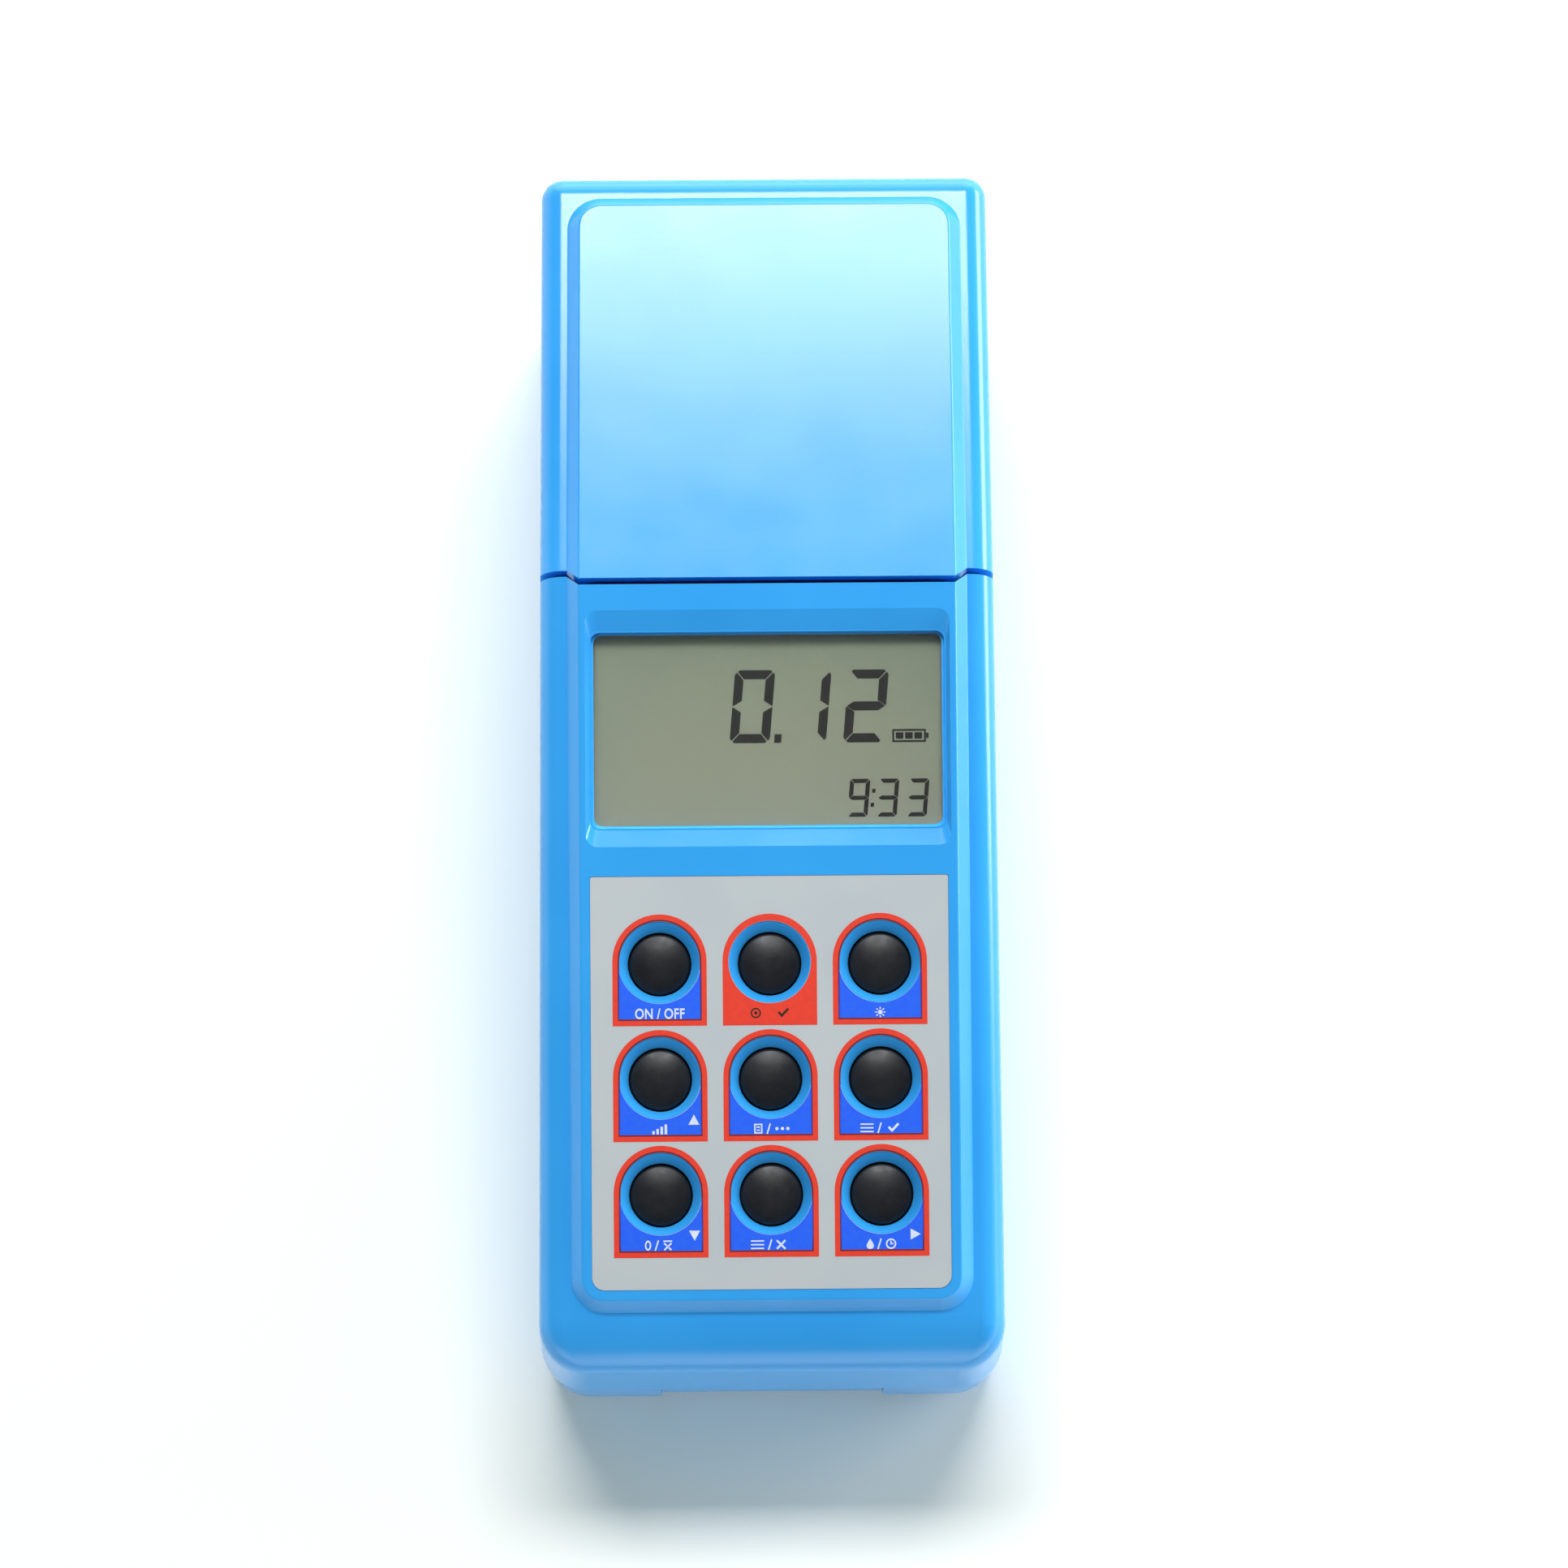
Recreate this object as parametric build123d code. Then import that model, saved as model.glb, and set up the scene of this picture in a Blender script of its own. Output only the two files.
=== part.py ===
from build123d import *
import os
from math import cos, radians, sin

# Portable turbidity meter. Millimetres, +Z up, +Y towards the head, +X to the right of a person
# who reads the display. The origin is on the table, under the middle of the case.

# Case
case_length = 224.0
case_width = 87.0
total_height = 77.0
wall = 2.5
foot_proud = 1.0
parting_z = 19.5
side_draft = 1.75
base_draft = 3.0
front_corner = 9.0
head_corner = 5.5
edge_radius = 4.5
base_edge_radius = 3.0

# Sloping face: the display and keypad plane falls towards the front from the seam of the lid
head_length = 82.0
face_angle = 11.5
step_height = 2.7
plateau_margin = 8.9
plateau_step = 2.3
plateau_front_margin = 12.6
plateau_corner = 4.0
plateau_round = 0.6
roll_margin = 9.4
roll_radius = 14.0

# Lid and hinge
lid_z = 49.0
lid_rest_gap = 0.2
lid_seam_gap = 1.2
lid_jog = 2.2
lid_lip = 3.0
lid_plateau_margin = 9.0
lip_gap = 0.35
lip_thickness = 1.5
lip_height = 3.0
deck_top = 46.5
deck_thickness = 2.5
deck_fit = 0.2
deck_ledge = 1.6
deck_ledge_thickness = 2.0
deck_boss_diameter = 7.0
deck_boss_length = 7.0
deck_boss_setback = 6.0
hinge_inset = 4.8
hinge_z = 51.5
barrel_radius = 3.6
pin_diameter = 2.4
pin_fit = 0.05
hinge_side_margin = 7.5
lid_knuckle_half_width = 21.7
knuckle_gap = 0.3
swing_clearance = 4.8
knuckle_web = 2.2

# Display, down the slope from the seam
recess_margin = 1.1
recess_start = 6.0
recess_end = 49.5
recess_depth = 1.5
recess_corner = 2.2
window_margin = 1.0
window_start = 10.0
window_end = 46.1
window_corner = 1.6
window_thickness = 1.4
window_sink = 1.2
window_ledge = 0.45
window_fit = 0.15
frame_depth = 4.0
frame_border = 1.8
lcd_gap = 0.3
lcd_thickness = 2.5
lcd_border = 0.5
lcd_ledge = 0.8
backlight_thickness = 2.3
zebra_width = 1.8
zebra_inset = 1.0

# Keypad
label_margin = 1.75
label_start = 54.9
label_front_margin = 1.9
label_corner = 2.3
label_thickness = 0.25
label_sink = 0.3
label_fit = 0.08
key_first_row = 70.7
key_pitch_s = 21.1
well_rim_diameter = 15.0
well_hole_diameter = 11.7
well_depth = 2.4
well_shift = 0.35
well_boss_diameter = 17.0
well_boss_depth = 4.0
key_diameter = 11.0
key_top_depth = 1.0
key_dome = 1.2
key_edge = 0.6
key_flange_diameter = 14.0
key_flange_thickness = 0.8
key_seat_gap = 0.3
key_stem_diameter = 6.0
key_stem_length = 1.0
key_travel = 1.0
mat_gap = 0.3
mat_thickness = 1.0
mat_border = 6.0
mat_dome_diameter = 8.0

# Main board
board_depth = 9.5
board_thickness = 1.6
board_side_margin = 5.9
board_start = 6.8
board_front_margin = 4.3
board_boss_inset = 2.3
board_boss_head = 12.0
board_boss_middle = 52.0
board_boss_front = 4.0
board_boss_diameter = 4.4
board_screw_diameter = 2.0
board_screw_length = 5.0
board_screw_head = 4.0
pilot_spare = 0.5
chip_size = 14.0
chip_height = 1.6
buzzer_diameter = 12.0
buzzer_height = 6.0

# Screws and bosses
screw_clearance = 0.05
case_screw_diameter = 3.0
case_screw_length = 14.0
case_screw_head = 5.6
case_boss_diameter = 7.0
case_boss_side = 8.5
case_boss_front = 9.0
case_boss_head = 11.0
counterbore_depth = 4.0
tongue_thickness = 1.2
tongue_height = 1.6
tongue_gap = 0.2
tongue_root = 3.5

# Optical block and cuvette well
block_rear_room = 24.0
cuvette_bore = 25.4
block_size = 40.0
block_floor_gap = 0.2
bore_floor = 1.5
beam_height = 20.0
beam_diameter = 8.6
aperture_diameter = 4.0
port_depth = 6.0
ear_reach = 5.0
ear_inset = 3.0
ear_radius = 4.0
ear_z = 20.0
ear_thickness = 3.0
post_diameter = 7.0
optics_screw_diameter = 3.0
optics_screw_length = 9.0
collar_diameter = 33.4
collar_hole = 25.8
collar_flange = 39.0
collar_flange_thickness = 1.6
collar_fit = 0.3
lamp_side_room = 5.5
lamp_holder_width = 16.0
lamp_holder_height = 20.0
lamp_diameter = 6.0
lamp_length = 11.0
lens_thickness = 3.0
lens_dome = 1.2
detector_height = 4.0
led_diameter = 5.0
led_length = 5.6
small_board_size = 15.0
part_fit = 0.2

# Battery bay, cover and cells
cell_diameter = 14.2
cell_length = 50.5
cell_nub_diameter = 5.5
cell_nub_height = 1.3
cell_spacing = 15.2
cell_seat_gap = 0.3
bay_clearance = 0.8
bay_wall = 1.8
bay_front_margin = 5.7
contact_thickness = 0.5
contact_size = 12.0
spring_space = 5.2
spring_wire = 0.8
spring_radius = 4.0
spring_turns = 2.5
cover_half_width = 21.0
cover_thickness = 2.2
cover_fit = 0.25
cover_overlap = 3.4
cover_setback = 0.8
cover_lip_thickness = 2.2
rail_width = 1.6
rail_thickness = 1.1
rail_block = 2.2
grip_grooves = 6
grip_pitch = 2.4
grip_groove_width = 1.1
grip_groove_depth = 0.6
grip_half_width = 9.0

# Lamp hatch, feet and sockets
hatch_side = 12.5
hatch_width = 14.0
hatch_length = 30.0
hatch_thickness = 1.5
hatch_screw_spacing = 23.0
hatch_screw_diameter = 2.5
hatch_screw_length = 6.0
hatch_screw_head = 4.4
hatch_sink = 0.1
foot_diameter = 10.0
foot_recess = 1.0
foot_edge = 0.5
foot_side = 9.5
foot_front = 23.0
foot_head = 22.0
socket_board_half_width = 26.0
socket_board_length = 16.6
socket_board_gap = 0.9
socket_board_z = 22.4
socket_post_inset = 4.0
jack_x = -11.0
jack_width = 9.0
jack_height = 11.0
jack_length = 14.0
jack_nose = 7.8
jack_bore = 6.2
jack_pin = 2.1
usb_x = 8.0
usb_width = 12.0
usb_height = 11.0
usb_length = 16.0
usb_shell = 0.8
usb_tongue_width = 7.0
usb_tongue_height = 4.0
socket_fit = 0.3

# Values that follow from the ones above
half_width = case_width / 2
half_length = case_length / 2
slope = radians(face_angle)
seam_y = half_length - head_length
face_length = (seam_y + half_length) / cos(slope)
plateau_half_width = half_width - plateau_margin
plateau_end = face_length - plateau_front_margin
roll_start = face_length - roll_margin
lid_plateau_end = half_length - lid_plateau_margin
hinge_y = half_length - hinge_inset
hinge_half_width = half_width - hinge_side_margin
recess_half_width = plateau_half_width - recess_margin
window_half_width = recess_half_width - window_margin
label_half_width = plateau_half_width - label_margin
label_end = plateau_end - label_front_margin
key_gap = (2 * label_half_width - 3 * well_rim_diameter) / 4
key_pitch_x = well_rim_diameter + key_gap
board_half_width = half_width - board_side_margin
board_end = plateau_end - board_front_margin
board_boss_x = board_half_width - board_boss_inset
board_boss_rows = (board_boss_head, board_boss_middle, board_end - board_boss_front)
case_boss_x = half_width - case_boss_side
block_half = block_size / 2
well_y = half_length - block_half - block_rear_room
ear_x = block_half + ear_reach
ear_y = block_half - ear_inset
lamp_holder_length = half_width - wall - block_half - lamp_side_room
bay_front = half_length - bay_front_margin
hatch_x = half_width - hatch_side
foot_x = half_width - foot_side
socket_board_end = half_length - wall - socket_board_gap
socket_board_start = socket_board_end - socket_board_length
socket_post_x = socket_board_half_width - socket_post_inset
socket_post_y = socket_board_start + socket_post_inset
base_z = foot_proud
floor_z = base_z + wall
rim_z = lid_z - lid_rest_gap
key_columns = (-key_pitch_x, 0.0, key_pitch_x)
key_rows = [key_first_row + row * key_pitch_s for row in range(3)]
far = 300.0


def face_point(down, depth):
    """Y and Z of a point that lies down the slope from the seam, under the plateau."""
    y = seam_y - down * cos(slope) + depth * sin(slope)
    z = total_height - down * sin(slope) - depth * cos(slope)
    return y, z


def on_face(x, down, depth=0.0):
    """A place on the sloping face: its Z is square to the face."""
    plane = Plane(origin=(0, seam_y, total_height), x_dir=(1, 0, 0), z_dir=(0, -sin(slope), cos(slope)))
    return plane * Pos(x, -down, -depth)


def span_box(x, y, z):
    """A box between low and high values along each axis."""
    size = [pair[1] - pair[0] for pair in (x, y, z)]
    middle = [(pair[0] + pair[1]) / 2 for pair in (x, y, z)]
    return Pos(*middle) * Box(*size)


def rounded(half, start, end, start_corner, end_corner):
    """A rectangle down the slope, with a corner radius at its upper and at its lower end."""
    flat = Pos(0, -(start + end) / 2) * Rectangle(2 * half, end - start)
    flat = fillet(flat.vertices().group_by(Axis.Y)[-1], start_corner)
    return fillet(flat.vertices().group_by(Axis.Y)[0], end_corner)


def face_plate(half, start, end, start_corner, end_corner, top, bottom):
    """A flat plate in the sloping face, between two depths."""
    sketch = rounded(half, start, end, start_corner, end_corner)
    return on_face(0, 0, bottom) * extrude(sketch, amount=bottom - top)


def post(x, y, low, high, diameter):
    """An upright round post."""
    return Pos(x, y, (low + high) / 2) * Cylinder(diameter / 2, high - low)


def outline(inset):
    """Plan outline of the case at the parting plane, moved in by the inset."""
    flat = Rectangle(2 * (half_width - inset), 2 * (half_length - inset))
    flat = fillet(flat.vertices().group_by(Axis.Y)[0], max(front_corner - inset, 1.5))
    flat = fillet(flat.vertices().group_by(Axis.Y)[-1], max(head_corner - inset, 1.5))
    return Pos(0, 0, parting_z) * flat


def upper_prism(inset):
    """The drafted block above the parting plane."""
    return extrude(outline(inset), amount=total_height, taper=side_draft)


def lower_prism(inset, bottom, edge):
    """The drafted block under the parting plane, with its bottom edge rounded."""
    block = extrude(outline(inset), amount=-(parting_z - bottom), taper=base_draft)
    return fillet(block.edges().group_by(Axis.Z)[0], edge)


def rim_of(block, tops, open_end):
    """Edges round the top faces, without those between two of them or at the open end."""
    edges = [edge for face in tops for edge in face.edges()]
    single = [edge for edge in edges if edges.count(edge) == 1]
    return [edge for edge in single if abs(edge.center().Y - open_end) > 0.5]


def slope_block(inset):
    """The front part under its sloping shoulders, with the rolled front edge."""
    depth = step_height + inset
    radius = roll_radius - inset
    centre = face_point(roll_start, step_height + roll_radius)
    start = face_point(roll_start, depth)
    top_end = face_point(-40, depth)
    arc_points = []
    for turn in (30, 60):
        angle = slope + radians(turn)
        arc_points.append((centre[0] - radius * sin(angle), centre[1] + radius * cos(angle)))
    low = parting_z - 5
    lines = Polyline(start, top_end, (top_end[0], low), (arc_points[1][0], low), arc_points[1])
    roll = ThreePointArc(start, arc_points[0], arc_points[1])
    profile = extrude(Plane.YZ * make_face(lines + roll), amount=half_width + 5, both=True)
    block = upper_prism(inset) & profile
    tops = [face for face in block.faces() if face.normal_at().Z > 0.4]
    rim = rim_of(block, tops, top_end[0])
    return fillet(rim, max(edge_radius - inset, 1.0))


def head_block(inset):
    """The head under its flat shoulders."""
    start = seam_y - 20
    top = total_height - step_height - inset
    block = upper_prism(inset) & span_box((-far, far), (start, far), (0, top))
    tops = block.faces().group_by(Axis.Z)[-1]
    rim = rim_of(block, tops, start)
    return fillet(rim, max(edge_radius - inset, 1.0))


def plateau(inset, start, end, edge=0.0):
    """The raised centre of a face, drawn on the XY plane with its top at Z = -inset."""
    foot = plateau_half_width + plateau_step - inset
    sketch = rounded(foot, start, end + plateau_step - inset, 0.5, plateau_corner + plateau_step - inset)
    height = step_height
    overlap = 0.5
    taper = 90 - angle_of(height, plateau_step)
    raised = extrude(Pos(0, 0, -inset - height) * sketch, amount=height, taper=taper)
    if edge:
        rim = raised.edges().group_by(Axis.Z)[-1].sort_by(Axis.Y)[:-1]
        raised = fillet(rim, edge)
    root = extrude(Pos(0, 0, -inset - height) * sketch, amount=-overlap)
    return raised + root


def angle_of(rise, run):
    """Angle of a slope in degrees."""
    return Vector(run, rise, 0).get_angle(Vector(1, 0, 0))


def face_plateau(inset):
    """The raised centre of the sloping face."""
    edge = 0.0 if inset else plateau_round
    return on_face(0, 0) * plateau(inset, -lid_plateau_margin, plateau_end, edge)


def lid_plateau(inset):
    """The raised centre of the lid, the same form turned to the head."""
    edge = 0.0 if inset else plateau_round
    turned = Pos(0, 0, total_height) * Rot(0, 0, 180) * plateau(inset, 0, lid_plateau_end, edge)
    return turned


def behind_seam(offset, low):
    """All that lies behind the seam of the lid, with the step of the seam at the shoulders."""
    y = seam_y + offset
    outer = plateau_half_width + plateau_step
    right = [(plateau_half_width, y), (outer, y + lid_jog), (far, y + lid_jog), (far, far)]
    left = [(-x, y_) for x, y_ in reversed(right)]
    plan = make_face(Polyline(*right, *left, right[0]))
    return Pos(0, 0, low) * extrude(plan, amount=far)


def hinge_barrel(low, high, radius):
    """A round piece along the hinge axis."""
    middle = (low + high) / 2
    return Pos(middle, hinge_y, hinge_z) * Rot(0, 90, 0) * Cylinder(radius, high - low)


def pan_screw(diameter, length, head):
    """A pan-head screw along -Z from its head, which seats at Z = 0, with a cross recess."""
    head_height = 0.36 * head
    cap = Pos(0, 0, head_height / 2) * Cylinder(head / 2, head_height)
    cap = chamfer(cap.edges().group_by(Axis.Z)[-1], head_height * 0.4)
    shank = Pos(0, 0, -length / 2) * Cylinder(diameter / 2, length)
    blade = Box(head * 0.6, head * 0.13, head_height)
    cross = Pos(0, 0, head_height) * (blade + Rot(0, 0, 90) * blade)
    return cap + shank - cross


def flat_screw(diameter, length, head):
    """A countersunk screw along -Z from the flat of its head at Z = 0, with a cross recess."""
    sink = (head - diameter) / 2
    cone = Pos(0, 0, -sink / 2) * Cone(diameter / 2, head / 2, sink)
    shank = Pos(0, 0, -length / 2) * Cylinder(diameter / 2, length - 0.02)
    blade = Box(head * 0.55, head * 0.12, sink)
    return cone + shank - blade - Rot(0, 0, 90) * blade


def case_screw_places():
    """Plan places of the four case screws."""
    ends = (case_boss_front - half_length, half_length - case_boss_head)
    return [(side * case_boss_x, y) for y in ends for side in (-1, 1)]


def key_places():
    """Places of the nine keys, row by row."""
    return [(x, down) for down in key_rows for x in key_columns]


def board_screw_places():
    """Places of the six board screws on the sloping face."""
    return [(side * board_boss_x, down) for down in board_boss_rows for side in (-1, 1)]


def ear_places():
    """Plan places of the four ears of the optical block."""
    return [(side * ear_x, well_y + end * ear_y) for end in (-1, 1) for side in (-1, 1)]


def socket_post_places():
    """Plan places of the two posts under the socket board."""
    return [(side * socket_post_x, socket_post_y) for side in (-1, 1)]


def key_well(x, down):
    """The skewed cone and hole of a key well."""
    rim = Pos(0, 0, 0) * Circle(well_rim_diameter / 2)
    hole_sketch = Pos(0, -well_shift, -well_depth) * Circle(well_hole_diameter / 2)
    cone = loft([rim, hole_sketch])
    above = extrude(rim, amount=1)
    hole_length = well_boss_depth - well_depth + 1
    hole = Pos(0, -well_shift, -well_depth - hole_length / 2) * Cylinder(well_hole_diameter / 2, hole_length)
    return on_face(x, down) * (cone + above + hole)


def display_recess():
    """The recess round the window: wide sloping walls above and below, narrow ones at the sides."""
    rim = rounded(recess_half_width, recess_start, recess_end, recess_corner, recess_corner)
    border = 0.3
    foot = rounded(window_half_width + border, window_start - border, window_end + border,
                   window_corner + border, window_corner + border)
    return on_face(0, 0) * (loft([rim, Pos(0, 0, -recess_depth) * foot]) + extrude(rim, amount=1))


def deck_inset():
    """How far the pocket of the head lies inside the outline."""
    return wall + lip_gap + lip_thickness


def head_pocket(fit, low):
    """The space inside the rim that carries the lid, made smaller by the fit."""
    return upper_prism(deck_inset() + fit) & behind_seam(fit - lid_seam_gap, low)


def deck_boss_places():
    """Plan places of the two front bosses under the deck plate."""
    return [(side * case_boss_x, seam_y + deck_boss_setback) for side in (-1, 1)]


def deck_screw_places():
    """Plan places of the four screws of the deck plate."""
    return deck_boss_places() + [place for place in case_screw_places() if place[1] > 0]


def deck_plate():
    """The black plate round the cuvette well, countersunk for its four screws."""
    low = deck_top - deck_thickness
    plate = head_pocket(deck_fit, low) & span_box((-far, far), (0, far), (low, deck_top))
    plate -= knuckle_webs(deck_fit)
    plate -= post(0, well_y, low - 1, deck_top + 1, collar_diameter + 2 * collar_fit)
    for x, y in deck_screw_places():
        plate -= countersink(x, y, deck_top)
    return plate


def countersink(x, y, top):
    """The hole and cone of a countersunk screw whose head is up, a little under the surface."""
    sink = (hatch_screw_head - hatch_screw_diameter) / 2 + screw_clearance
    spread = hatch_screw_head / 2 + screw_clearance
    cone = Cone(hatch_screw_diameter / 2, spread, sink)
    hole = post(x, y, top - hatch_screw_length, top + 1, hatch_screw_diameter + 2 * screw_clearance)
    mouth = post(x, y, top - hatch_sink, top + 1, 2 * spread)
    return hole + mouth + Pos(x, y, top - hatch_sink - sink / 2) * cone


def lid_lip_ring():
    """The upstanding lip that keeps light out under the edge of the lid."""
    inset = wall + lip_gap
    front = seam_y + lid_lip + wall + lip_gap
    back = hinge_y - barrel_radius - lip_gap - lip_thickness
    ring = upper_prism(inset) - upper_prism(inset + lip_thickness)
    return ring & span_box((-far, far), (front, back), (rim_z - 1, rim_z + lip_height))


def knuckle_spans():
    """The two spans along X of the knuckles of the case."""
    inner = lid_knuckle_half_width + knuckle_gap
    return [(-hinge_half_width, -inner), (inner, hinge_half_width)]


def knuckle_webs(fit):
    """The webs of the knuckles down to the ledge of the deck, made larger by the fit."""
    webs = Part()
    for span in knuckle_spans():
        webs += span_box(grown(span, fit), (hinge_y - knuckle_web - fit, hinge_y + barrel_radius),
                         (deck_top - deck_thickness - deck_ledge_thickness, hinge_z))
    return webs


def base_knuckles():
    """The two knuckles of the case, each with its web down to the rear wall."""
    body = knuckle_webs(0)
    for low, high in knuckle_spans():
        body += hinge_barrel(low, high, barrel_radius)
    return body


def top_case_shell():
    """The bare shell of the upper case, with the deck and rim of its head."""
    head_base = upper_prism(0) & span_box((-far, far), (0, far), (0, rim_z))
    front = slope_block(0) + face_plateau(0) - behind_seam(-lid_seam_gap, rim_z)
    end_wall = seam_y - lid_seam_gap - wall
    front_room = (slope_block(wall) + face_plateau(wall)) & span_box((-far, far), (-far, end_wall), (0, far))
    deck_low = deck_top - deck_thickness
    ledge_low = deck_low - deck_ledge_thickness
    head_room = upper_prism(wall) & span_box((-far, far), (0, far), (0, ledge_low))
    shell = front + head_base - front_room - head_room
    shell -= head_pocket(0, deck_low)
    shell -= head_pocket(deck_ledge, ledge_low - 1)
    shell += lid_lip_ring()
    rear_notch = hinge_y - swing_clearance
    shell -= span_box((-far, far), (rear_notch, far), (hinge_z - swing_clearance, rim_z + 0.01))
    return shell + (base_knuckles() & upper_prism(0))


def top_case():
    """The upper case: shell, bosses, display frame, key wells and openings."""
    body = top_case_shell()
    for x, y in case_screw_places():
        if y < 0:
            top = face_point((seam_y - y) / cos(slope), step_height + wall / 2)[1] - 2
        else:
            top = deck_top - deck_thickness
        body += post(x, y, parting_z, top, case_boss_diameter)
    for x, y in deck_boss_places():
        top = deck_top - deck_thickness
        body += post(x, y, top - deck_boss_length, top, deck_boss_diameter)
    boss_length = board_depth - step_height - wall / 2
    for x, down in board_screw_places():
        boss = Cylinder(board_boss_diameter / 2, boss_length)
        body += on_face(x, down, board_depth - boss_length / 2) * boss
    border = window_half_width + frame_border
    body += face_plate(border, window_start - frame_border, window_end + frame_border, 1, 1,
                       wall - 0.5, frame_depth)
    for x, down in key_places():
        boss_thickness = well_boss_depth - wall / 2
        middle = well_boss_depth - boss_thickness / 2
        body += on_face(x, down + well_shift, middle) * Cylinder(well_boss_diameter / 2, boss_thickness)
    body -= display_recess()
    pocket_floor = recess_depth + window_sink
    body -= face_plate(window_half_width, window_start, window_end, window_corner, window_corner,
                       0, pocket_floor)
    body -= face_plate(window_half_width - window_ledge, window_start + window_ledge,
                       window_end - window_ledge, window_corner, window_corner, 0, frame_depth + 1)
    body -= face_plate(label_half_width, label_start, label_end, 0.4, label_corner, -1, label_sink)
    for x, down in key_places():
        body -= key_well(x, down)
    for x, down in board_screw_places():
        pilot_length = board_screw_length - board_thickness + pilot_spare
        pilot = Cylinder(board_screw_diameter / 2 + screw_clearance, 2 * pilot_length)
        body -= on_face(x, down, board_depth) * pilot
    for x, y in case_screw_places():
        pilot_top = base_z + counterbore_depth + case_screw_length + 1
        body -= post(x, y, parting_z - 1, pilot_top, case_screw_diameter + 2 * screw_clearance)
    for x, y in deck_screw_places():
        low = deck_top - hatch_screw_length - pilot_spare
        body -= post(x, y, low, deck_top, hatch_screw_diameter + 2 * screw_clearance)
    body -= hinge_barrel(-half_width, half_width, pin_diameter / 2 + pin_fit)
    body -= socket_openings()
    return body


def socket_openings():
    """The round and the square hole in the rear wall."""
    level = socket_board_z + board_thickness
    middle = level + jack_height / 2
    round_hole = Pos(jack_x, half_length, middle) * Rot(90, 0, 0) * Cylinder(jack_nose / 2 + socket_fit, 10)
    half = usb_width / 2 + socket_fit
    square = span_box((usb_x - half, usb_x + half), (half_length - 5, half_length + 5),
                      (level - socket_fit, level + usb_height + socket_fit))
    return round_hole + square


def lid():
    """The hinged light shield over the cuvette well."""
    outer = head_block(0) + lid_plateau(0)
    body = outer & behind_seam(0, lid_z)
    inner = head_block(wall) + lid_plateau(wall)
    front = seam_y + lid_lip + wall
    body -= inner & span_box((-far, far), (front, far), (0, far))
    body -= inner & span_box((-far, far), (0, seam_y + lid_lip), (0, far))
    for side in (-1, 1):
        inner_x = side * (lid_knuckle_half_width + knuckle_gap / 2)
        outer_x = side * (hinge_half_width + knuckle_gap)
        body -= span_box((min(inner_x, outer_x), max(inner_x, outer_x)),
                         (hinge_y - far / 2, far), (0, hinge_z + swing_clearance)) & rear_zone()
    body -= span_box((-half_width, half_width), (hinge_y, far), (0, hinge_z - 0.5)) & rear_zone()
    body += hinge_barrel(-lid_knuckle_half_width, lid_knuckle_half_width, barrel_radius)
    body -= hinge_barrel(-half_width, half_width, pin_diameter / 2 + pin_fit)
    return body


def rear_zone():
    """The zone of the rear wall of the lid, between its side walls."""
    side = hinge_half_width + knuckle_gap
    return span_box((-side, side), (hinge_y - barrel_radius - knuckle_gap, far), (0, far))


def hinge_pin():
    """The steel pin of the lid hinge."""
    return hinge_barrel(-hinge_half_width, hinge_half_width, pin_diameter / 2)


def bay_limits():
    """Inner limits of the battery bay along X, Y and Z."""
    half = (cell_spacing + cell_diameter) / 2 + bay_clearance
    length = 2 * cell_length + spring_space + 2 * contact_thickness
    top = cell_level() + cell_diameter / 2 + 2 * cell_seat_gap
    return (-half, half), (-bay_front, length - bay_front), (base_z + cover_thickness, top)


def cell_level():
    """Height of the axes of the battery cells."""
    return base_z + cover_thickness + cell_seat_gap + cell_diameter / 2


def grown(limits, amount):
    """A pair of limits moved apart."""
    return limits[0] - amount, limits[1] + amount


def bottom_case():
    """The lower case: tray, battery bay, posts, hatch, foot recesses and joint tongue."""
    outer = lower_prism(0, base_z, base_edge_radius)
    room = lower_prism(wall, floor_z, 1.0)
    bay_x, bay_y, bay_z = bay_limits()
    rail_block_half = cover_half_width + rail_width + cover_fit + bay_wall
    rail_top = base_z + cover_thickness + cover_fit + rail_block
    cover_end = bay_y[1] + cover_overlap
    body = outer - room
    body += span_box((-rail_block_half, rail_block_half), (-half_length + wall, cover_end + bay_wall),
                     (base_z, rail_top))
    body += span_box(grown(bay_x, bay_wall), grown(bay_y, bay_wall), (base_z, bay_z[1] + bay_wall))
    body += span_box((-rail_block_half, rail_block_half), (-bay_front - bay_wall, -bay_front),
                     (base_z, parting_z + tongue_height))
    body += joint_tongue(rail_block_half + tongue_thickness)
    for x, y in case_screw_places():
        body += post(x, y, floor_z - 1, parting_z, case_boss_diameter)
    for x, y in ear_places():
        body += post(x, y, floor_z - 1, ear_z, post_diameter)
    for x, y in socket_post_places():
        body += post(x, y, floor_z - 1, socket_board_z, post_diameter)
    body += hatch_frame()
    body -= span_box(bay_x, bay_y, (0, bay_z[1]))
    body -= cover_space(cover_end)
    for x, y in case_screw_places():
        head = base_z + counterbore_depth
        body -= post(x, y, base_z - 1, head, case_screw_head + 0.6)
        body -= post(x, y, base_z, parting_z + 1, case_screw_diameter + 0.4)
    for x, y in ear_places():
        low = ear_z + ear_thickness - optics_screw_length - pilot_spare
        body -= post(x, y, low, ear_z + 1, optics_screw_diameter + 2 * screw_clearance)
    for x, y in socket_post_places():
        low = socket_board_z + board_thickness - board_screw_length - pilot_spare
        body -= post(x, y, low, socket_board_z + 1, board_screw_diameter + 2 * screw_clearance)
    for x, y in foot_places():
        body -= post(x, y, base_z - 1, base_z + foot_recess, foot_diameter + part_fit)
    return body - hatch_space()


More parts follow.
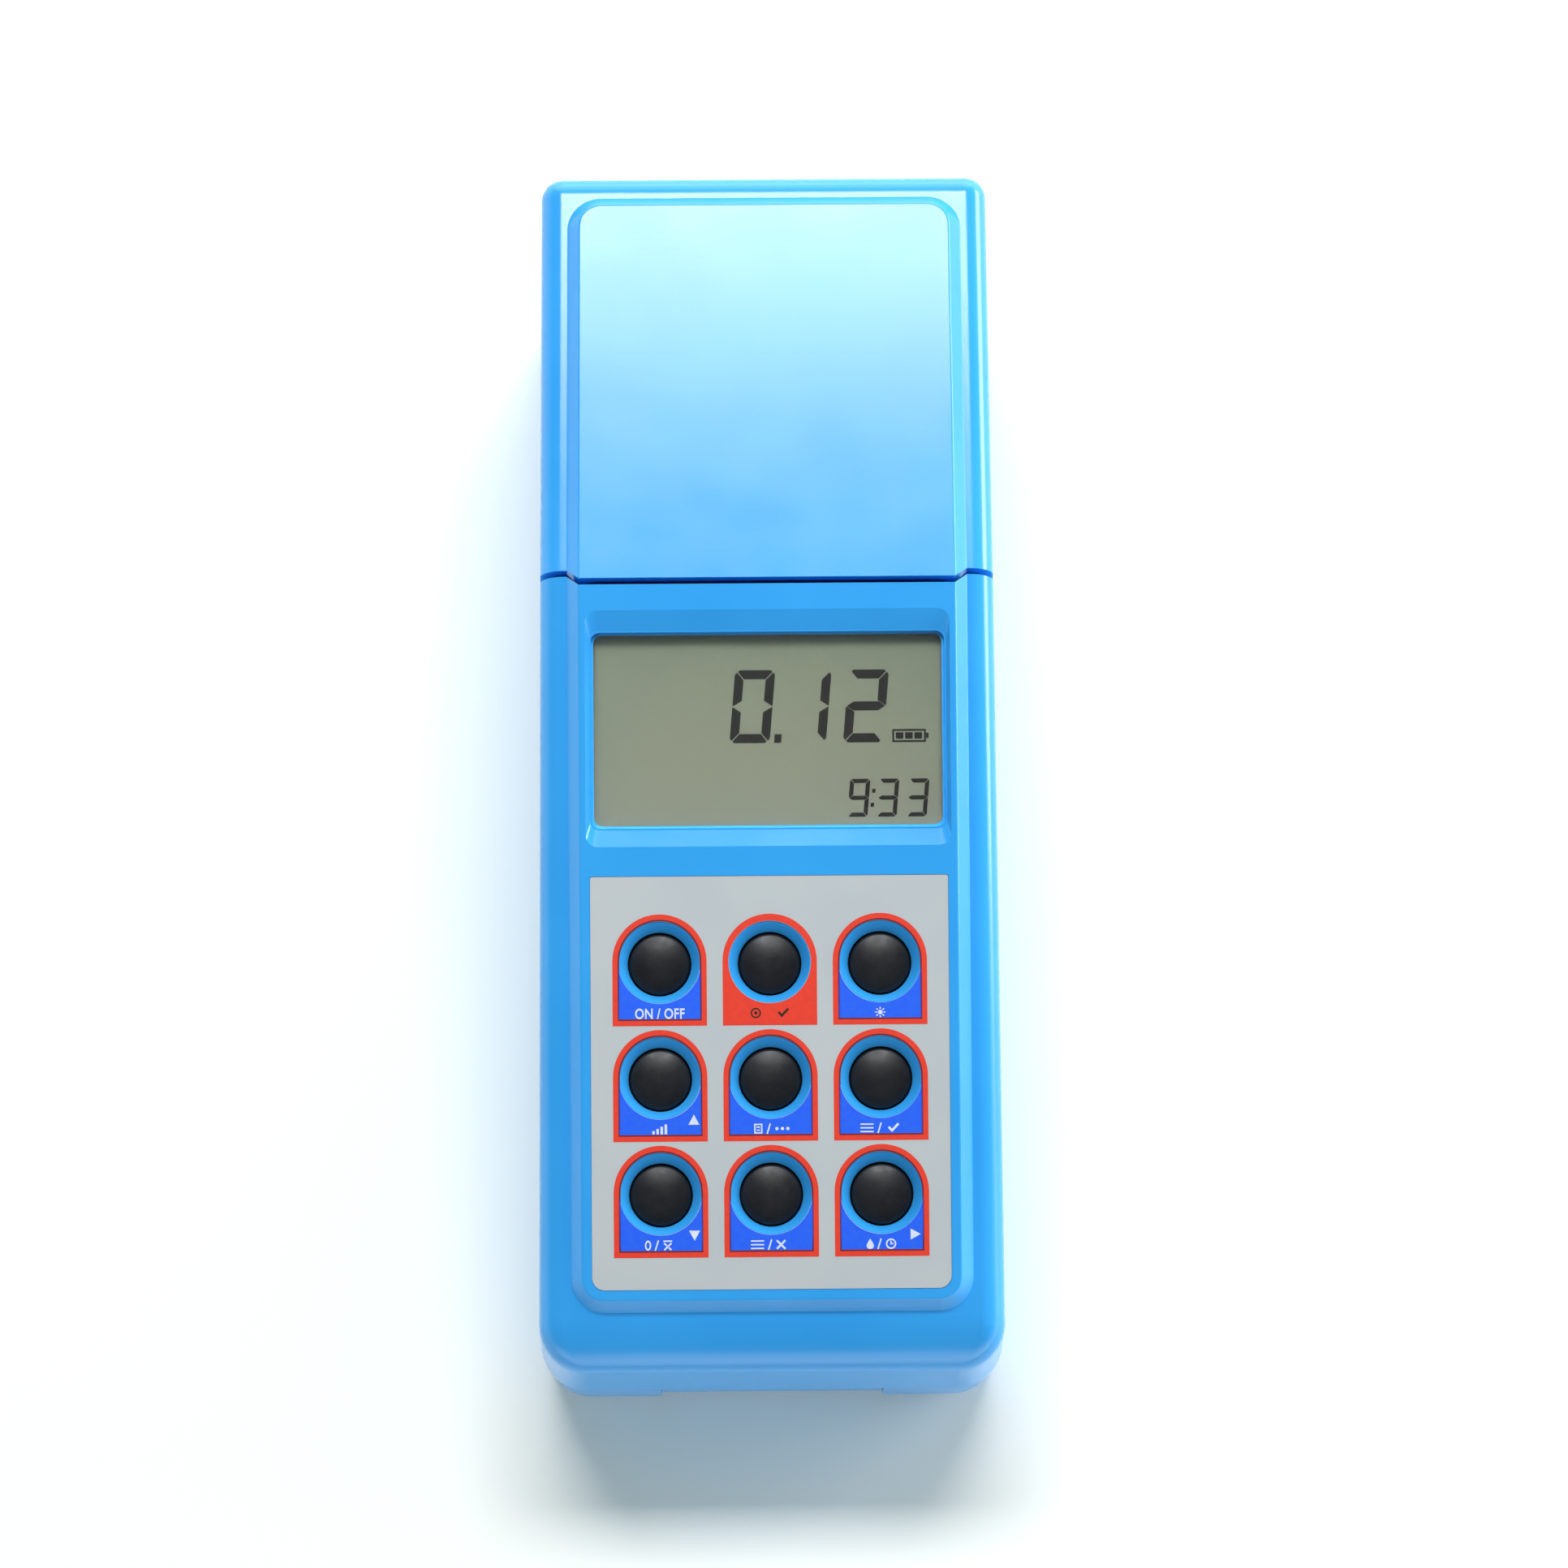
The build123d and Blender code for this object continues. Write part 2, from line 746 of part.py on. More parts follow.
def joint_tongue(gap_half):
    """The tongue on the inside of the wall that locates the upper case."""
    inner = wall + tongue_gap + tongue_thickness
    root = upper_ring(wall, inner, parting_z - tongue_root, parting_z)
    tip = upper_ring(wall + tongue_gap, inner, parting_z - 0.5, parting_z + tongue_height)
    ring = root + tip
    ring -= span_box((-gap_half, gap_half), (-far, 0), (0, far))
    for x, y in case_screw_places():
        ring -= post(x, y, parting_z - 0.01, parting_z + 5, case_boss_diameter + 1)
    return ring


def upper_ring(outer_inset, inner_inset, low, high):
    """A straight ring that follows the plan outline."""
    flat = outline(outer_inset) - outline(inner_inset)
    return Pos(0, 0, low - parting_z) * extrude(flat, amount=high - low)


def cover_space(cover_end):
    """The space that the battery cover slides in, with the grooves of its rails."""
    half = cover_half_width
    top = base_z + cover_thickness + cover_fit
    plate = span_box((-half, half), (-far, cover_end), (0, top))
    groove_low = top - rail_thickness - 2 * cover_fit
    groove = span_box((-half - rail_width - cover_fit, half + rail_width + cover_fit),
                      (-far, cover_end), (groove_low, top))
    lip = span_box((-half, half), (-far, -bay_front - bay_wall), (0, parting_z + 0.1))
    return plate + groove + lip


def battery_cover():
    """The sliding cover under the battery bay, with its rails, end lip and finger grip."""
    half = cover_half_width - cover_fit
    end = bay_limits()[1][1] + cover_overlap - cover_fit
    top = base_z + cover_thickness
    plate = span_box((-half, half), (-far, end), (0, top))
    rails = span_box((-half - rail_width, half + rail_width), (-half_length + front_corner, end),
                     (top - rail_thickness, top))
    lip_back = -half_length + cover_setback + cover_lip_thickness
    lip = span_box((-half, half), (-far, lip_back), (0, parting_z - cover_fit))
    body = (plate + rails + lip) & lower_prism(cover_setback, base_z, base_edge_radius - cover_setback)
    grip_start = -half_length + front_corner + 4
    for index in range(grip_grooves):
        y = grip_start + index * grip_pitch
        body -= Pos(0, y, base_z) * Box(2 * grip_half_width, grip_groove_width, 2 * grip_groove_depth)
    return body


def hatch_space():
    """The opening under the lamp, with the ledge for its cover."""
    half_x = hatch_width / 2
    half_y = hatch_length / 2
    ledge = span_box((-hatch_x - half_x, -hatch_x + half_x), (well_y - half_y, well_y + half_y),
                     (0, base_z + hatch_thickness + hatch_sink))
    margin = 2.0
    shaft_half = hatch_screw_spacing / 2 - hatch_screw_diameter - 1
    shaft = span_box((-hatch_x - half_x + margin, -hatch_x + half_x - margin),
                     (well_y - shaft_half, well_y + shaft_half), (0, far))
    space = ledge + shaft
    for x, y in hatch_screw_places():
        space += post(x, y, 0, base_z + hatch_thickness + hatch_screw_length,
                      hatch_screw_diameter + 2 * screw_clearance)
    return space


def hatch_screw_places():
    """Plan places of the two screws of the lamp cover."""
    return [(-hatch_x, well_y + side * hatch_screw_spacing / 2) for side in (-1, 1)]


def hatch_frame():
    """Bosses over the two screws of the lamp cover."""
    frame = Part()
    for x, y in hatch_screw_places():
        frame += post(x, y, floor_z - 1, base_z + hatch_thickness + hatch_screw_length + 1, post_diameter - 1)
    return frame


def lamp_cover():
    """The small plate that closes the opening under the lamp."""
    fit = part_fit
    plate = span_box((-hatch_x - hatch_width / 2 + fit, -hatch_x + hatch_width / 2 - fit),
                     (well_y - hatch_length / 2 + fit, well_y + hatch_length / 2 - fit),
                     (base_z + hatch_sink, base_z + hatch_sink + hatch_thickness))
    plate = fillet(plate.edges().filter_by(Axis.Z), 1.0)
    for x, y in hatch_screw_places():
        plate -= post(x, y, 0, floor_z, hatch_screw_diameter + 2 * screw_clearance)
        sink = (hatch_screw_head - hatch_screw_diameter) / 2 + screw_clearance
        cone = Cone(hatch_screw_head / 2 + screw_clearance, hatch_screw_diameter / 2, sink)
        plate -= Pos(x, y, base_z + hatch_sink + sink / 2) * cone
    return plate


def foot_places():
    """Plan places of the four rubber feet."""
    ends = (foot_front - half_length, half_length - foot_head)
    return [(side * foot_x, y) for y in ends for side in (-1, 1)]


def rubber_feet():
    """Four rubber feet with a bevelled edge, glued in their recesses."""
    feet = []
    for x, y in foot_places():
        foot = post(x, y, 0, base_z + foot_recess, foot_diameter)
        feet.append(chamfer(foot.edges().group_by(Axis.Z)[0], foot_edge))
    return Compound(children=feet)


def display_window():
    """The clear window over the display."""
    fit = window_fit
    bottom = recess_depth + window_sink
    return face_plate(window_half_width - fit, window_start + fit, window_end - fit, window_corner,
                      window_corner, bottom - window_thickness, bottom)


def lcd_top():
    """Depth of the top of the display glass."""
    return frame_depth + lcd_gap


def lcd_panel():
    """The display glass, a thick lower plate with a shorter upper one."""
    start = window_start - lcd_border
    end = window_end + lcd_border
    half = window_half_width + lcd_border / 2
    top = lcd_top()
    middle = top + lcd_thickness / 2
    lower = face_plate(half, start, end, 0.3, 0.3, middle, top + lcd_thickness)
    upper = face_plate(half, start + lcd_ledge, end - lcd_ledge, 0.3, 0.3, top, middle)
    return lower + upper


def zebra_strips():
    """The two rubber contact strips between the glass and the main board."""
    top = lcd_top() + lcd_thickness
    height = board_depth - top
    strips = []
    for middle in (window_start + zebra_inset, window_end - zebra_inset):
        strip = Box(2 * window_half_width - 4, zebra_width, height)
        strips.append(on_face(0, middle, top + height / 2) * strip)
    return Compound(children=strips)


def backlight_panel():
    """The light guide behind the display, with its lamp block at one side."""
    top = lcd_top() + lcd_thickness + 0.05
    gap = zebra_inset + zebra_width / 2 + 0.5
    half = window_half_width - 2
    return face_plate(half, window_start + gap, window_end - gap, 1, 1, top, top + backlight_thickness)


def keypad_label():
    """The printed label with its nine round holes."""
    fit = label_fit
    plate = face_plate(label_half_width - fit, label_start + fit, label_end - fit, 0.4, label_corner,
                       label_sink - label_thickness, label_sink)
    for x, down in key_places():
        plate -= on_face(x, down, label_sink) * Cylinder(well_rim_diameter / 2 + 0.02, 2)
    return plate


def key(x, down):
    """A domed rubber key with its retaining flange and its stem."""
    radius = key_diameter / 2
    flange_top = well_boss_depth + key_seat_gap
    flange_bottom = flange_top + key_flange_thickness
    shoulder = key_top_depth + key_dome
    sphere_radius = (radius ** 2 + key_dome ** 2) / (2 * key_dome)
    quarter = radius / 2
    quarter_depth = key_top_depth + sphere_radius - (sphere_radius ** 2 - quarter ** 2) ** 0.5
    dome = ThreePointArc((0, -key_top_depth), (quarter, -quarter_depth), (radius, -shoulder))
    flange = key_flange_diameter / 2
    stem = key_stem_diameter / 2
    stem_bottom = flange_bottom + key_stem_length
    side = Polyline((radius, -shoulder), (radius, -flange_top), (flange, -flange_top),
                    (flange, -flange_bottom), (stem, -flange_bottom), (stem, -stem_bottom),
                    (0, -stem_bottom), (0, -key_top_depth))
    body = revolve(Plane.XZ * make_face(dome + side), Axis.Z)
    edge = body.edges().filter_by(GeomType.CIRCLE)
    rim = [item for item in edge if abs(item.center().Z + shoulder) < 0.01]
    body = fillet(rim, key_edge)
    return on_face(x, down + well_shift) * body


def keypad_mat():
    """The silicone mat on the main board, with a low dome under each key."""
    stem_bottom = well_boss_depth + key_seat_gap + key_flange_thickness + key_stem_length
    dome_top = stem_bottom + key_travel + mat_gap
    sheet_top = board_depth - mat_thickness
    half = key_pitch_x + well_rim_diameter / 2 + mat_border / 3
    sheet = face_plate(half, key_rows[0] - mat_border * 1.6, key_rows[-1] + mat_border * 1.6, 2, 2,
                       sheet_top, board_depth)
    for x, down in key_places():
        height = sheet_top - dome_top
        dome = Pos(0, 0, height / 2) * Cone(mat_dome_diameter / 2, mat_dome_diameter / 2 - 1, height)
        sheet += on_face(x, down + well_shift, sheet_top) * dome
    return sheet


def main_board():
    """The main circuit board, square to the keys."""
    board = face_plate(board_half_width, board_start, board_end, 2, 3, board_depth,
                       board_depth + board_thickness)
    for x, down in board_screw_places():
        board -= on_face(x, down, board_depth) * Cylinder(board_screw_diameter / 2 + 0.2, 3 * board_thickness)
    return board


def board_chips():
    """The processor, the memory and the supply parts on the back of the board."""
    back = board_depth + board_thickness
    middle = (board_start + board_end) / 2
    shares = [(-0.55, 0.3, 1.0, 1.0, 1.0), (1.0, -0.1, 0.6, 0.45, 1.0), (-1.6, 2.3, 0.7, 0.6, 2.0),
              (0.3, 2.2, 0.5, 0.85, 1.4)]
    chips = []
    for across, down, wide, long, thick in shares:
        high = thick * chip_height
        chip = Box(wide * chip_size, long * chip_size, high)
        chips.append(on_face(across * chip_size, middle + down * chip_size, back + high / 2) * chip)
    return Compound(children=chips)


def buzzer():
    """The round sounder on the back of the board, with its sound hole."""
    body = Cylinder(buzzer_diameter / 2, buzzer_height)
    body = chamfer(body.edges().group_by(Axis.Z)[0], 0.5)
    body -= Pos(0, 0, -buzzer_height / 2) * Cylinder(1, 2)
    side = board_half_width - 1.3 * buzzer_diameter
    down = board_end - 1.35 * buzzer_diameter
    return on_face(side, down, board_depth + board_thickness + buzzer_height / 2) * body


def board_screws():
    """The six screws that hold the main board to the upper case."""
    screw = Rot(180, 0, 0) * pan_screw(board_screw_diameter, board_screw_length, board_screw_head)
    depth = board_depth + board_thickness
    return Compound(children=[on_face(x, down, depth) * screw for x, down in board_screw_places()])


def case_screws():
    """The four screws that hold the two halves of the case together."""
    screw = Rot(180, 0, 0) * pan_screw(case_screw_diameter, case_screw_length, case_screw_head)
    level = base_z + counterbore_depth
    return Compound(children=[Pos(x, y, level) * screw for x, y in case_screw_places()])


def optics_screws():
    """The four screws that hold the optical block to its posts."""
    screw = pan_screw(optics_screw_diameter, optics_screw_length, case_screw_head)
    level = ear_z + ear_thickness
    return Compound(children=[Pos(x, y, level) * screw for x, y in ear_places()])


def socket_screws():
    """The two screws of the socket board."""
    screw = pan_screw(board_screw_diameter, board_screw_length, board_screw_head)
    level = socket_board_z + board_thickness
    return Compound(children=[Pos(x, y, level) * screw for x, y in socket_post_places()])


def deck_screws():
    """The four countersunk screws of the deck plate."""
    screw = flat_screw(hatch_screw_diameter, hatch_screw_length - hatch_sink, hatch_screw_head)
    return Compound(children=[Pos(x, y, deck_top - hatch_sink) * screw for x, y in deck_screw_places()])


def hatch_screws():
    """The two screws of the lamp cover."""
    screw = Rot(180, 0, 0) * flat_screw(hatch_screw_diameter, hatch_screw_length, hatch_screw_head)
    return Compound(children=[Pos(x, y, base_z + hatch_sink) * screw for x, y in hatch_screw_places()])


def block_bottom():
    """Level of the underside of the optical block."""
    return floor_z + block_floor_gap


def beam_z():
    """Level of the light beam through the cuvette."""
    return block_bottom() + bore_floor + beam_height


def port(direction, start, end, diameter):
    """A round bore from the axis of the well, along +X, +Y, -X or -Y."""
    length = end - start
    turn = {"+X": 0, "+Y": 90, "-X": 180, "-Y": 270}[direction]
    bore = Pos((start + end) / 2, 0, 0) * Rot(0, 90, 0) * Cylinder(diameter / 2, length)
    return Pos(0, well_y, beam_z()) * Rot(0, 0, turn) * bore


def optical_block():
    """The black block that holds the cuvette, the lamp and the detectors."""
    low = block_bottom()
    high = deck_top - deck_thickness - block_floor_gap
    half = block_half
    body = span_box((-half, half), (well_y - half, well_y + half), (low, high))
    body = fillet(body.edges().filter_by(Axis.Z), 3.0)
    for x, y in ear_places():
        inner = half - 1 if x > 0 else -half + 1
        body += post(x, y, ear_z, ear_z + ear_thickness, 2 * ear_radius)
        body += span_box((min(inner, x), max(inner, x)), (y - ear_radius, y + ear_radius),
                         (ear_z, ear_z + ear_thickness))
    body -= post(0, well_y, low + bore_floor, high + 1, cuvette_bore)
    for direction in ("+X", "+Y", "-X", "-Y"):
        seat = half - port_depth
        body -= port(direction, 0, half + 1, aperture_diameter)
        body -= port(direction, seat, half + 1, beam_diameter)
    for x, y in ear_places():
        body -= post(x, y, ear_z - 1, ear_z + 5, optics_screw_diameter + 0.4)
    return body


def well_collar():
    """The ring at the mouth of the well, with its index notch."""
    low = deck_top - deck_thickness - block_floor_gap
    top = deck_top + collar_flange_thickness
    ring = post(0, well_y, low, top, collar_diameter)
    ring += post(0, well_y, deck_top, top, collar_flange)
    ring = chamfer(ring.edges().group_by(Axis.Z)[-1], 0.5)
    ring -= post(0, well_y, low - 1, top + 1, collar_hole)
    notch = Pos(0, well_y - collar_hole / 2 - 2, top) * Rot(0, 0, 45) * Box(2.4, 2.4, 1.0)
    return ring - notch


def lamp_holder():
    """The carrier of the lamp, bolted to the side of the optical block."""
    near = -block_half - part_fit
    body = span_box((near - lamp_holder_length, near),
                    (well_y - lamp_holder_width / 2, well_y + lamp_holder_width / 2),
                    (beam_z() - lamp_holder_height / 2, beam_z() + lamp_holder_height / 2))
    body = fillet(body.edges().filter_by(Axis.X), 2.0)
    return body - port("-X", block_half, block_half + lamp_holder_length + 1, beam_diameter)


def lamp():
    """The tungsten lamp: a glass bulb on a metal base."""
    radius = lamp_diameter / 2
    base = Polyline((0, 0), (radius + 1.1, 0), (radius + 1.1, 3), (radius - 0.4, 3), (radius - 0.4, 4))
    bulb = Spline((radius - 0.4, 4), (radius, lamp_length * 0.65), (0, lamp_length),
                  tangents=((0, 1), (-1, 0)))
    close = Line((0, lamp_length), (0, 0))
    body = revolve(Plane.XZ * make_face(base + bulb + close), Axis.Z)
    start = -block_half - part_fit - lamp_holder_length + 1
    return Pos(start, well_y, beam_z()) * Rot(0, 90, 0) * body


def lamp_lens():
    """The lens between the lamp and the cuvette, flat on one side and domed on the other."""
    radius = beam_diameter / 2 - part_fit
    sphere_radius = (radius ** 2 + lens_dome ** 2) / (2 * lens_dome)
    ball = Pos(0, 0, lens_thickness - sphere_radius) * Sphere(sphere_radius)
    disc = Pos(0, 0, lens_thickness / 2) * Cylinder(radius, lens_thickness)
    seat = block_half - port_depth
    return Pos(-seat - lens_thickness - part_fit, well_y, beam_z()) * Rot(0, 90, 0) * (disc & ball)


def turned_to(direction, body):
    """A round body along Z turned to look at the axis of the well from one side."""
    turn = {"+X": 0, "+Y": 90, "-X": 180, "-Y": 270}[direction]
    return Pos(0, well_y, beam_z()) * Rot(0, 0, turn) * Rot(0, -90, 0) * body


def detector(direction):
    """A photodiode in its metal can, with a rim, a window and three leads to its board."""
    start = block_half + part_fit
    radius = beam_diameter / 2 - part_fit
    rim = Pos(0, 0, 0.4) * Cylinder(radius, 0.8)
    can = Pos(0, 0, detector_height / 2) * Cylinder(radius - 0.5, detector_height)
    can = chamfer(can.edges().group_by(Axis.Z)[-1], 0.3)
    window = Pos(0, 0, detector_height) * Cylinder(radius - 1.6, 0.6)
    body = rim + can - window
    return turned_to(direction, Pos(0, 0, -start) * body)


def green_led():
    """The green LED, with its rim and domed nose."""
    radius = led_diameter / 2
    start = block_half + part_fit
    body = Pos(0, 0, 0.5) * Cylinder(radius + 0.4, 1.0)
    body += Pos(0, 0, (led_length - radius) / 2) * Cylinder(radius, led_length - radius)
    body += Pos(0, 0, led_length - radius) * Sphere(radius)
    return turned_to("-Y", Pos(0, 0, -start) * body)


def optics_boards():
    """The small boards that carry the LED and the two detectors."""
    start = block_half + part_fit
    plate = Pos(0, 0, -start - board_thickness / 2) * Box(small_board_size, small_board_size, board_thickness)
    return Compound(children=[turned_to(side, plate) for side in ("+X", "+Y", "-Y")])


def battery_cell(x, start, turned):
    """A battery cell along Y from its front end, with its nub to the front when turned."""
    body_length = cell_length - cell_nub_height
    radius = cell_diameter / 2
    nub = cell_nub_diameter / 2
    points = [(0, 0), (radius, 0), (radius, body_length), (nub, body_length),
              (nub, cell_length), (0, cell_length)]
    cell = revolve(Plane.XZ * make_face(Polyline(*points, points[0])), Axis.Z)
    if turned:
        return Pos(x, start + cell_length, cell_level()) * Rot(90, 0, 0) * cell
    return Pos(x, start, cell_level()) * Rot(-90, 0, 0) * cell


def battery_cells():
    """Four cells in two rows of two, the rows turned end for end."""
    front = -bay_front + contact_thickness
    left = front + spring_space
    cells = [battery_cell(-cell_spacing / 2, left + index * cell_length, False) for index in range(2)]
    cells += [battery_cell(cell_spacing / 2, front + index * cell_length, True) for index in range(2)]
    return Compound(children=cells)


def battery_springs():
    """The two coil springs that press on the flat ends of the cells."""
    space = spring_space - spring_wire - 0.4
    path = Helix(pitch=space / spring_turns, height=space, radius=spring_radius)
    coil = sweep(Plane(origin=path @ 0, z_dir=path % 0) * Circle(spring_wire / 2), path=path)
    start = -bay_front + contact_thickness + spring_wire / 2 + 0.2
    back = start + 2 * cell_length
    springs = []
    for x, y in ((-cell_spacing / 2, start), (cell_spacing / 2, back)):
        springs.append(Pos(x, y, cell_level()) * Rot(-90, 0, 0) * coil)
    return Compound(children=springs)


def battery_plates():
    """The contact plates: two at the front, and one at the back that joins the rows."""
    level = (cell_level() - contact_size / 2, cell_level() + contact_size / 2)
    front = (-bay_front, -bay_front + contact_thickness)
    back_end = bay_limits()[1][1]
    plates = []
    for x in (-cell_spacing / 2, cell_spacing / 2):
        plates.append(span_box((x - contact_size / 2, x + contact_size / 2), front, level))
    reach = cell_spacing / 2 + contact_size / 2
    plates.append(span_box((-reach, reach), (back_end - contact_thickness, back_end), level))
    return Compound(children=plates)


def socket_board():
    """The board under the sockets in the head."""
    half = socket_board_half_width
    board = span_box((-half, half), (socket_board_start, socket_board_end),
                     (socket_board_z, socket_board_z + board_thickness))
    for x, y in socket_post_places():
        board -= post(x, y, 0, far, board_screw_diameter + 0.4)
    return board


def power_jack():
    """The round power socket with its centre pin."""
    low = socket_board_z + board_thickness
    back = half_length - wall - socket_fit - 0.4
    middle = low + jack_height / 2
    body = span_box((jack_x - jack_width / 2, jack_x + jack_width / 2), (back - jack_length, back),
                    (low, low + jack_height))
    nose_length = wall + socket_fit
    nose = Pos(jack_x, back + nose_length / 2, middle) * Rot(90, 0, 0) * Cylinder(jack_nose / 2, nose_length)
    bore_length = jack_length - 4 + nose_length
    bore_middle = back + nose_length - bore_length / 2
    bore = Pos(jack_x, bore_middle, middle) * Rot(90, 0, 0) * Cylinder(jack_bore / 2, bore_length + 0.02)
    pin = Pos(jack_x, bore_middle - 1, middle) * Rot(90, 0, 0) * Cylinder(jack_pin / 2, bore_length - 1)
    return body + nose - bore + pin


def usb_socket():
    """The square data socket with its inner tongue."""
    low = socket_board_z + board_thickness
    front = half_length - wall + 1.5
    shell = span_box((usb_x - usb_width / 2, usb_x + usb_width / 2), (front - usb_length, front),
                     (low, low + usb_height))
    top = shell.edges().filter_by(Axis.Y).group_by(Axis.Z)[-1]
    shell = chamfer(top, 2.0)
    half = usb_width / 2 - usb_shell
    room = span_box((usb_x - half, usb_x + half), (front - usb_length + 3, front + 1),
                    (low + usb_shell, low + usb_height - usb_shell))
    room = chamfer(room.edges().filter_by(Axis.Y).group_by(Axis.Z)[-1], 1.7)
    middle = low + usb_height / 2
    tongue = span_box((usb_x - usb_tongue_width / 2, usb_x + usb_tongue_width / 2),
                      (front - usb_length + 2, front - 2),
                      (middle - usb_tongue_height / 2, middle + usb_tongue_height / 2))
    return shell - room + tongue


def build_all():
    """Every sub-part by its node name."""
    parts = {
        "top_case": top_case(),
        "bottom_case": bottom_case(),
        "deck_plate": deck_plate(),
        "deck_screws": deck_screws(),
        "lid": lid(),
        "hinge_pin": hinge_pin(),
        "display_window": display_window(),
        "lcd_panel": lcd_panel(),
        "zebra_strips": zebra_strips(),
        "backlight_panel": backlight_panel(),
        "keypad_label": keypad_label(),
        "keypad_mat": keypad_mat(),
        "main_board": main_board(),
        "board_chips": board_chips(),
        "buzzer": buzzer(),
        "board_screws": board_screws(),
        "case_screws": case_screws(),
        "optical_block": optical_block(),
        "well_collar": well_collar(),
        "lamp_holder": lamp_holder(),
        "lamp": lamp(),
        "lamp_lens": lamp_lens(),
        "green_led": green_led(),
        "detector_90": detector("+Y"),
        "detector_180": detector("+X"),
        "optics_boards": optics_boards(),
        "optics_screws": optics_screws(),
        "battery_cells": battery_cells(),
        "battery_springs": battery_springs(),
        "battery_plates": battery_plates(),
        "battery_cover": battery_cover(),
        "lamp_cover": lamp_cover(),
        "lamp_cover_screws": hatch_screws(),
        "rubber_feet": rubber_feet(),
        "socket_board": socket_board(),
        "socket_screws": socket_screws(),
        "power_jack": power_jack(),
        "usb_socket": usb_socket(),
    }
    for index, (x, down) in enumerate(key_places(), start=1):
        parts[f"key_{index}"] = key(x, down)
    return parts


os.makedirs("parts", exist_ok=True)
for name, shape in build_all().items():
    export_step(shape, f"parts/{name}.step")
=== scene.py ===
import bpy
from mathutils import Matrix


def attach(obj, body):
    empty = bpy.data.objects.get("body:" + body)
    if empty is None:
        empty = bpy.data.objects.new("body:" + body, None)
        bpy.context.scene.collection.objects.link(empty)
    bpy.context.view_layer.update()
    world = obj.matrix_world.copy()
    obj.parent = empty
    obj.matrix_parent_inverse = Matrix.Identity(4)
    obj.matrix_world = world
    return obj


bl_info = {
    "name": "Portable turbidity meter",
    "version": (1, 0, 0),
    "blender": (4, 5, 0),
    "location": "3D View > Sidebar > Meter",
    "description": "Finishes, prints and studio stage for a portable turbidity meter",
    "category": "Object",
}

from math import cos, pi, radians, sin

import bmesh
import bpy
from bpy.props import FloatProperty, FloatVectorProperty, PointerProperty
from mathutils import Matrix, Vector

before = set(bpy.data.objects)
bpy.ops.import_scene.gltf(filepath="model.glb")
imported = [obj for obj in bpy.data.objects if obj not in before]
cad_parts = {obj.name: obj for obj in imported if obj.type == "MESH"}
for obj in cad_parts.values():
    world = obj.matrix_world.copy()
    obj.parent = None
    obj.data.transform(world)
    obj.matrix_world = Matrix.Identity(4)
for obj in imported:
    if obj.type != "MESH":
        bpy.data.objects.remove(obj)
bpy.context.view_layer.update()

# Millimetres to metres
MM = 0.001

# Clinging dust is 0.1 mm wide, and it is drawn coarser so that it shows
DUST_WIDTH = 0.45

# The sloping face: its origin is on the seam of the lid, and places on it are in millimetres,
# X to the right and Y up the slope, so a distance down the slope is -Y
SLOPE = radians(11.5)
FACE_ORIGIN = Vector((0.0, 0.030, 0.077))
LABEL_TOP = 0.05
GLASS_TOP = 4.3
KEY_COLUMNS = (-20.15, 0.0, 20.15)
KEY_ROWS = (70.7, 91.8, 112.9)
KEY_HOLE = 7.56

# Heights of a key's marks and of its words over the foot of its frame, and how far an arrow stands
# to the right of the key's centre and below it
MARK_RISE = 2.25
WORD_RISE = 1.35
ARROW_SHIFT, ARROW_DROP = 6.1, 7.6

# The words are squeezed to the width of the printed ones
WORD_SQUEEZE = 0.79

# The line where the blue is printed over the red, and how far an arch's centre is above its key's
LAP_WIDTH = 0.3
ARCH_RISE = 0.18

# Each group of digits: its signs, their right edges at half height, how far down the face their
# middle is, then width, height, stroke and gap
READING = ("012", (0.90, 11.26, 21.82), 23.67, 7.42, 13.45, 1.68, 0.16)
CLOCK = ("933", (18.51, 23.86, 29.40), 40.62, 3.72, 7.0, 0.78, 0.09)

CELL_LENGTH = 50.5

# The camera, solved from the outline, the seams and the rows of keys: place, axes and lens
CAMERA_PLACE = Vector((-0.00295, -0.22097, 0.89908))
CAMERA_RIGHT = Vector((0.99995, -0.00881, 0.00475))
CAMERA_UP = Vector((0.00735, 0.96839, 0.24932))
CAMERA_LENS = 107.36

# The softboxes: name, place, width and height, and the setting that holds the power. The one high
# behind the head gives the lid its bright far end, and the one at the right lights the right edges.
SOFTBOXES = (("Back_softbox", (0.0, 0.755, 1.41), (1.0, 0.34), "back_power"),
             ("Low_back_softbox", (0.0, 1.50, 0.55), (1.8, 1.0), "low_power"),
             ("Front_softbox", (0.0, -1.6, 0.3), (2.4, 0.5), "front_power"),
             ("Right_softbox", (1.30, 0.42, 0.26), (0.9, 0.45), "right_power"))
AIM = Vector((0.0, 0.0, 0.04))
FLOOR_HALF = 0.75


def linear(code):
    """A linear colour from an sRGB hex code."""
    parts = [int(code[i:i + 2], 16) / 255 for i in (1, 3, 5)]
    return [p / 12.92 if p <= 0.04045 else ((p + 0.055) / 1.055) ** 2.4 for p in parts]


def face_matrix(depth):
    """Lays a flat drawing on the sloping face, at a depth in millimetres under the raised centre."""
    up = Vector((0.0, cos(SLOPE), sin(SLOPE)))
    normal = Vector((0.0, -sin(SLOPE), cos(SLOPE)))
    turn = Matrix((Vector((1.0, 0.0, 0.0)), up, normal)).transposed().to_4x4()
    return Matrix.Translation(FACE_ORIGIN - normal * depth * MM) @ turn


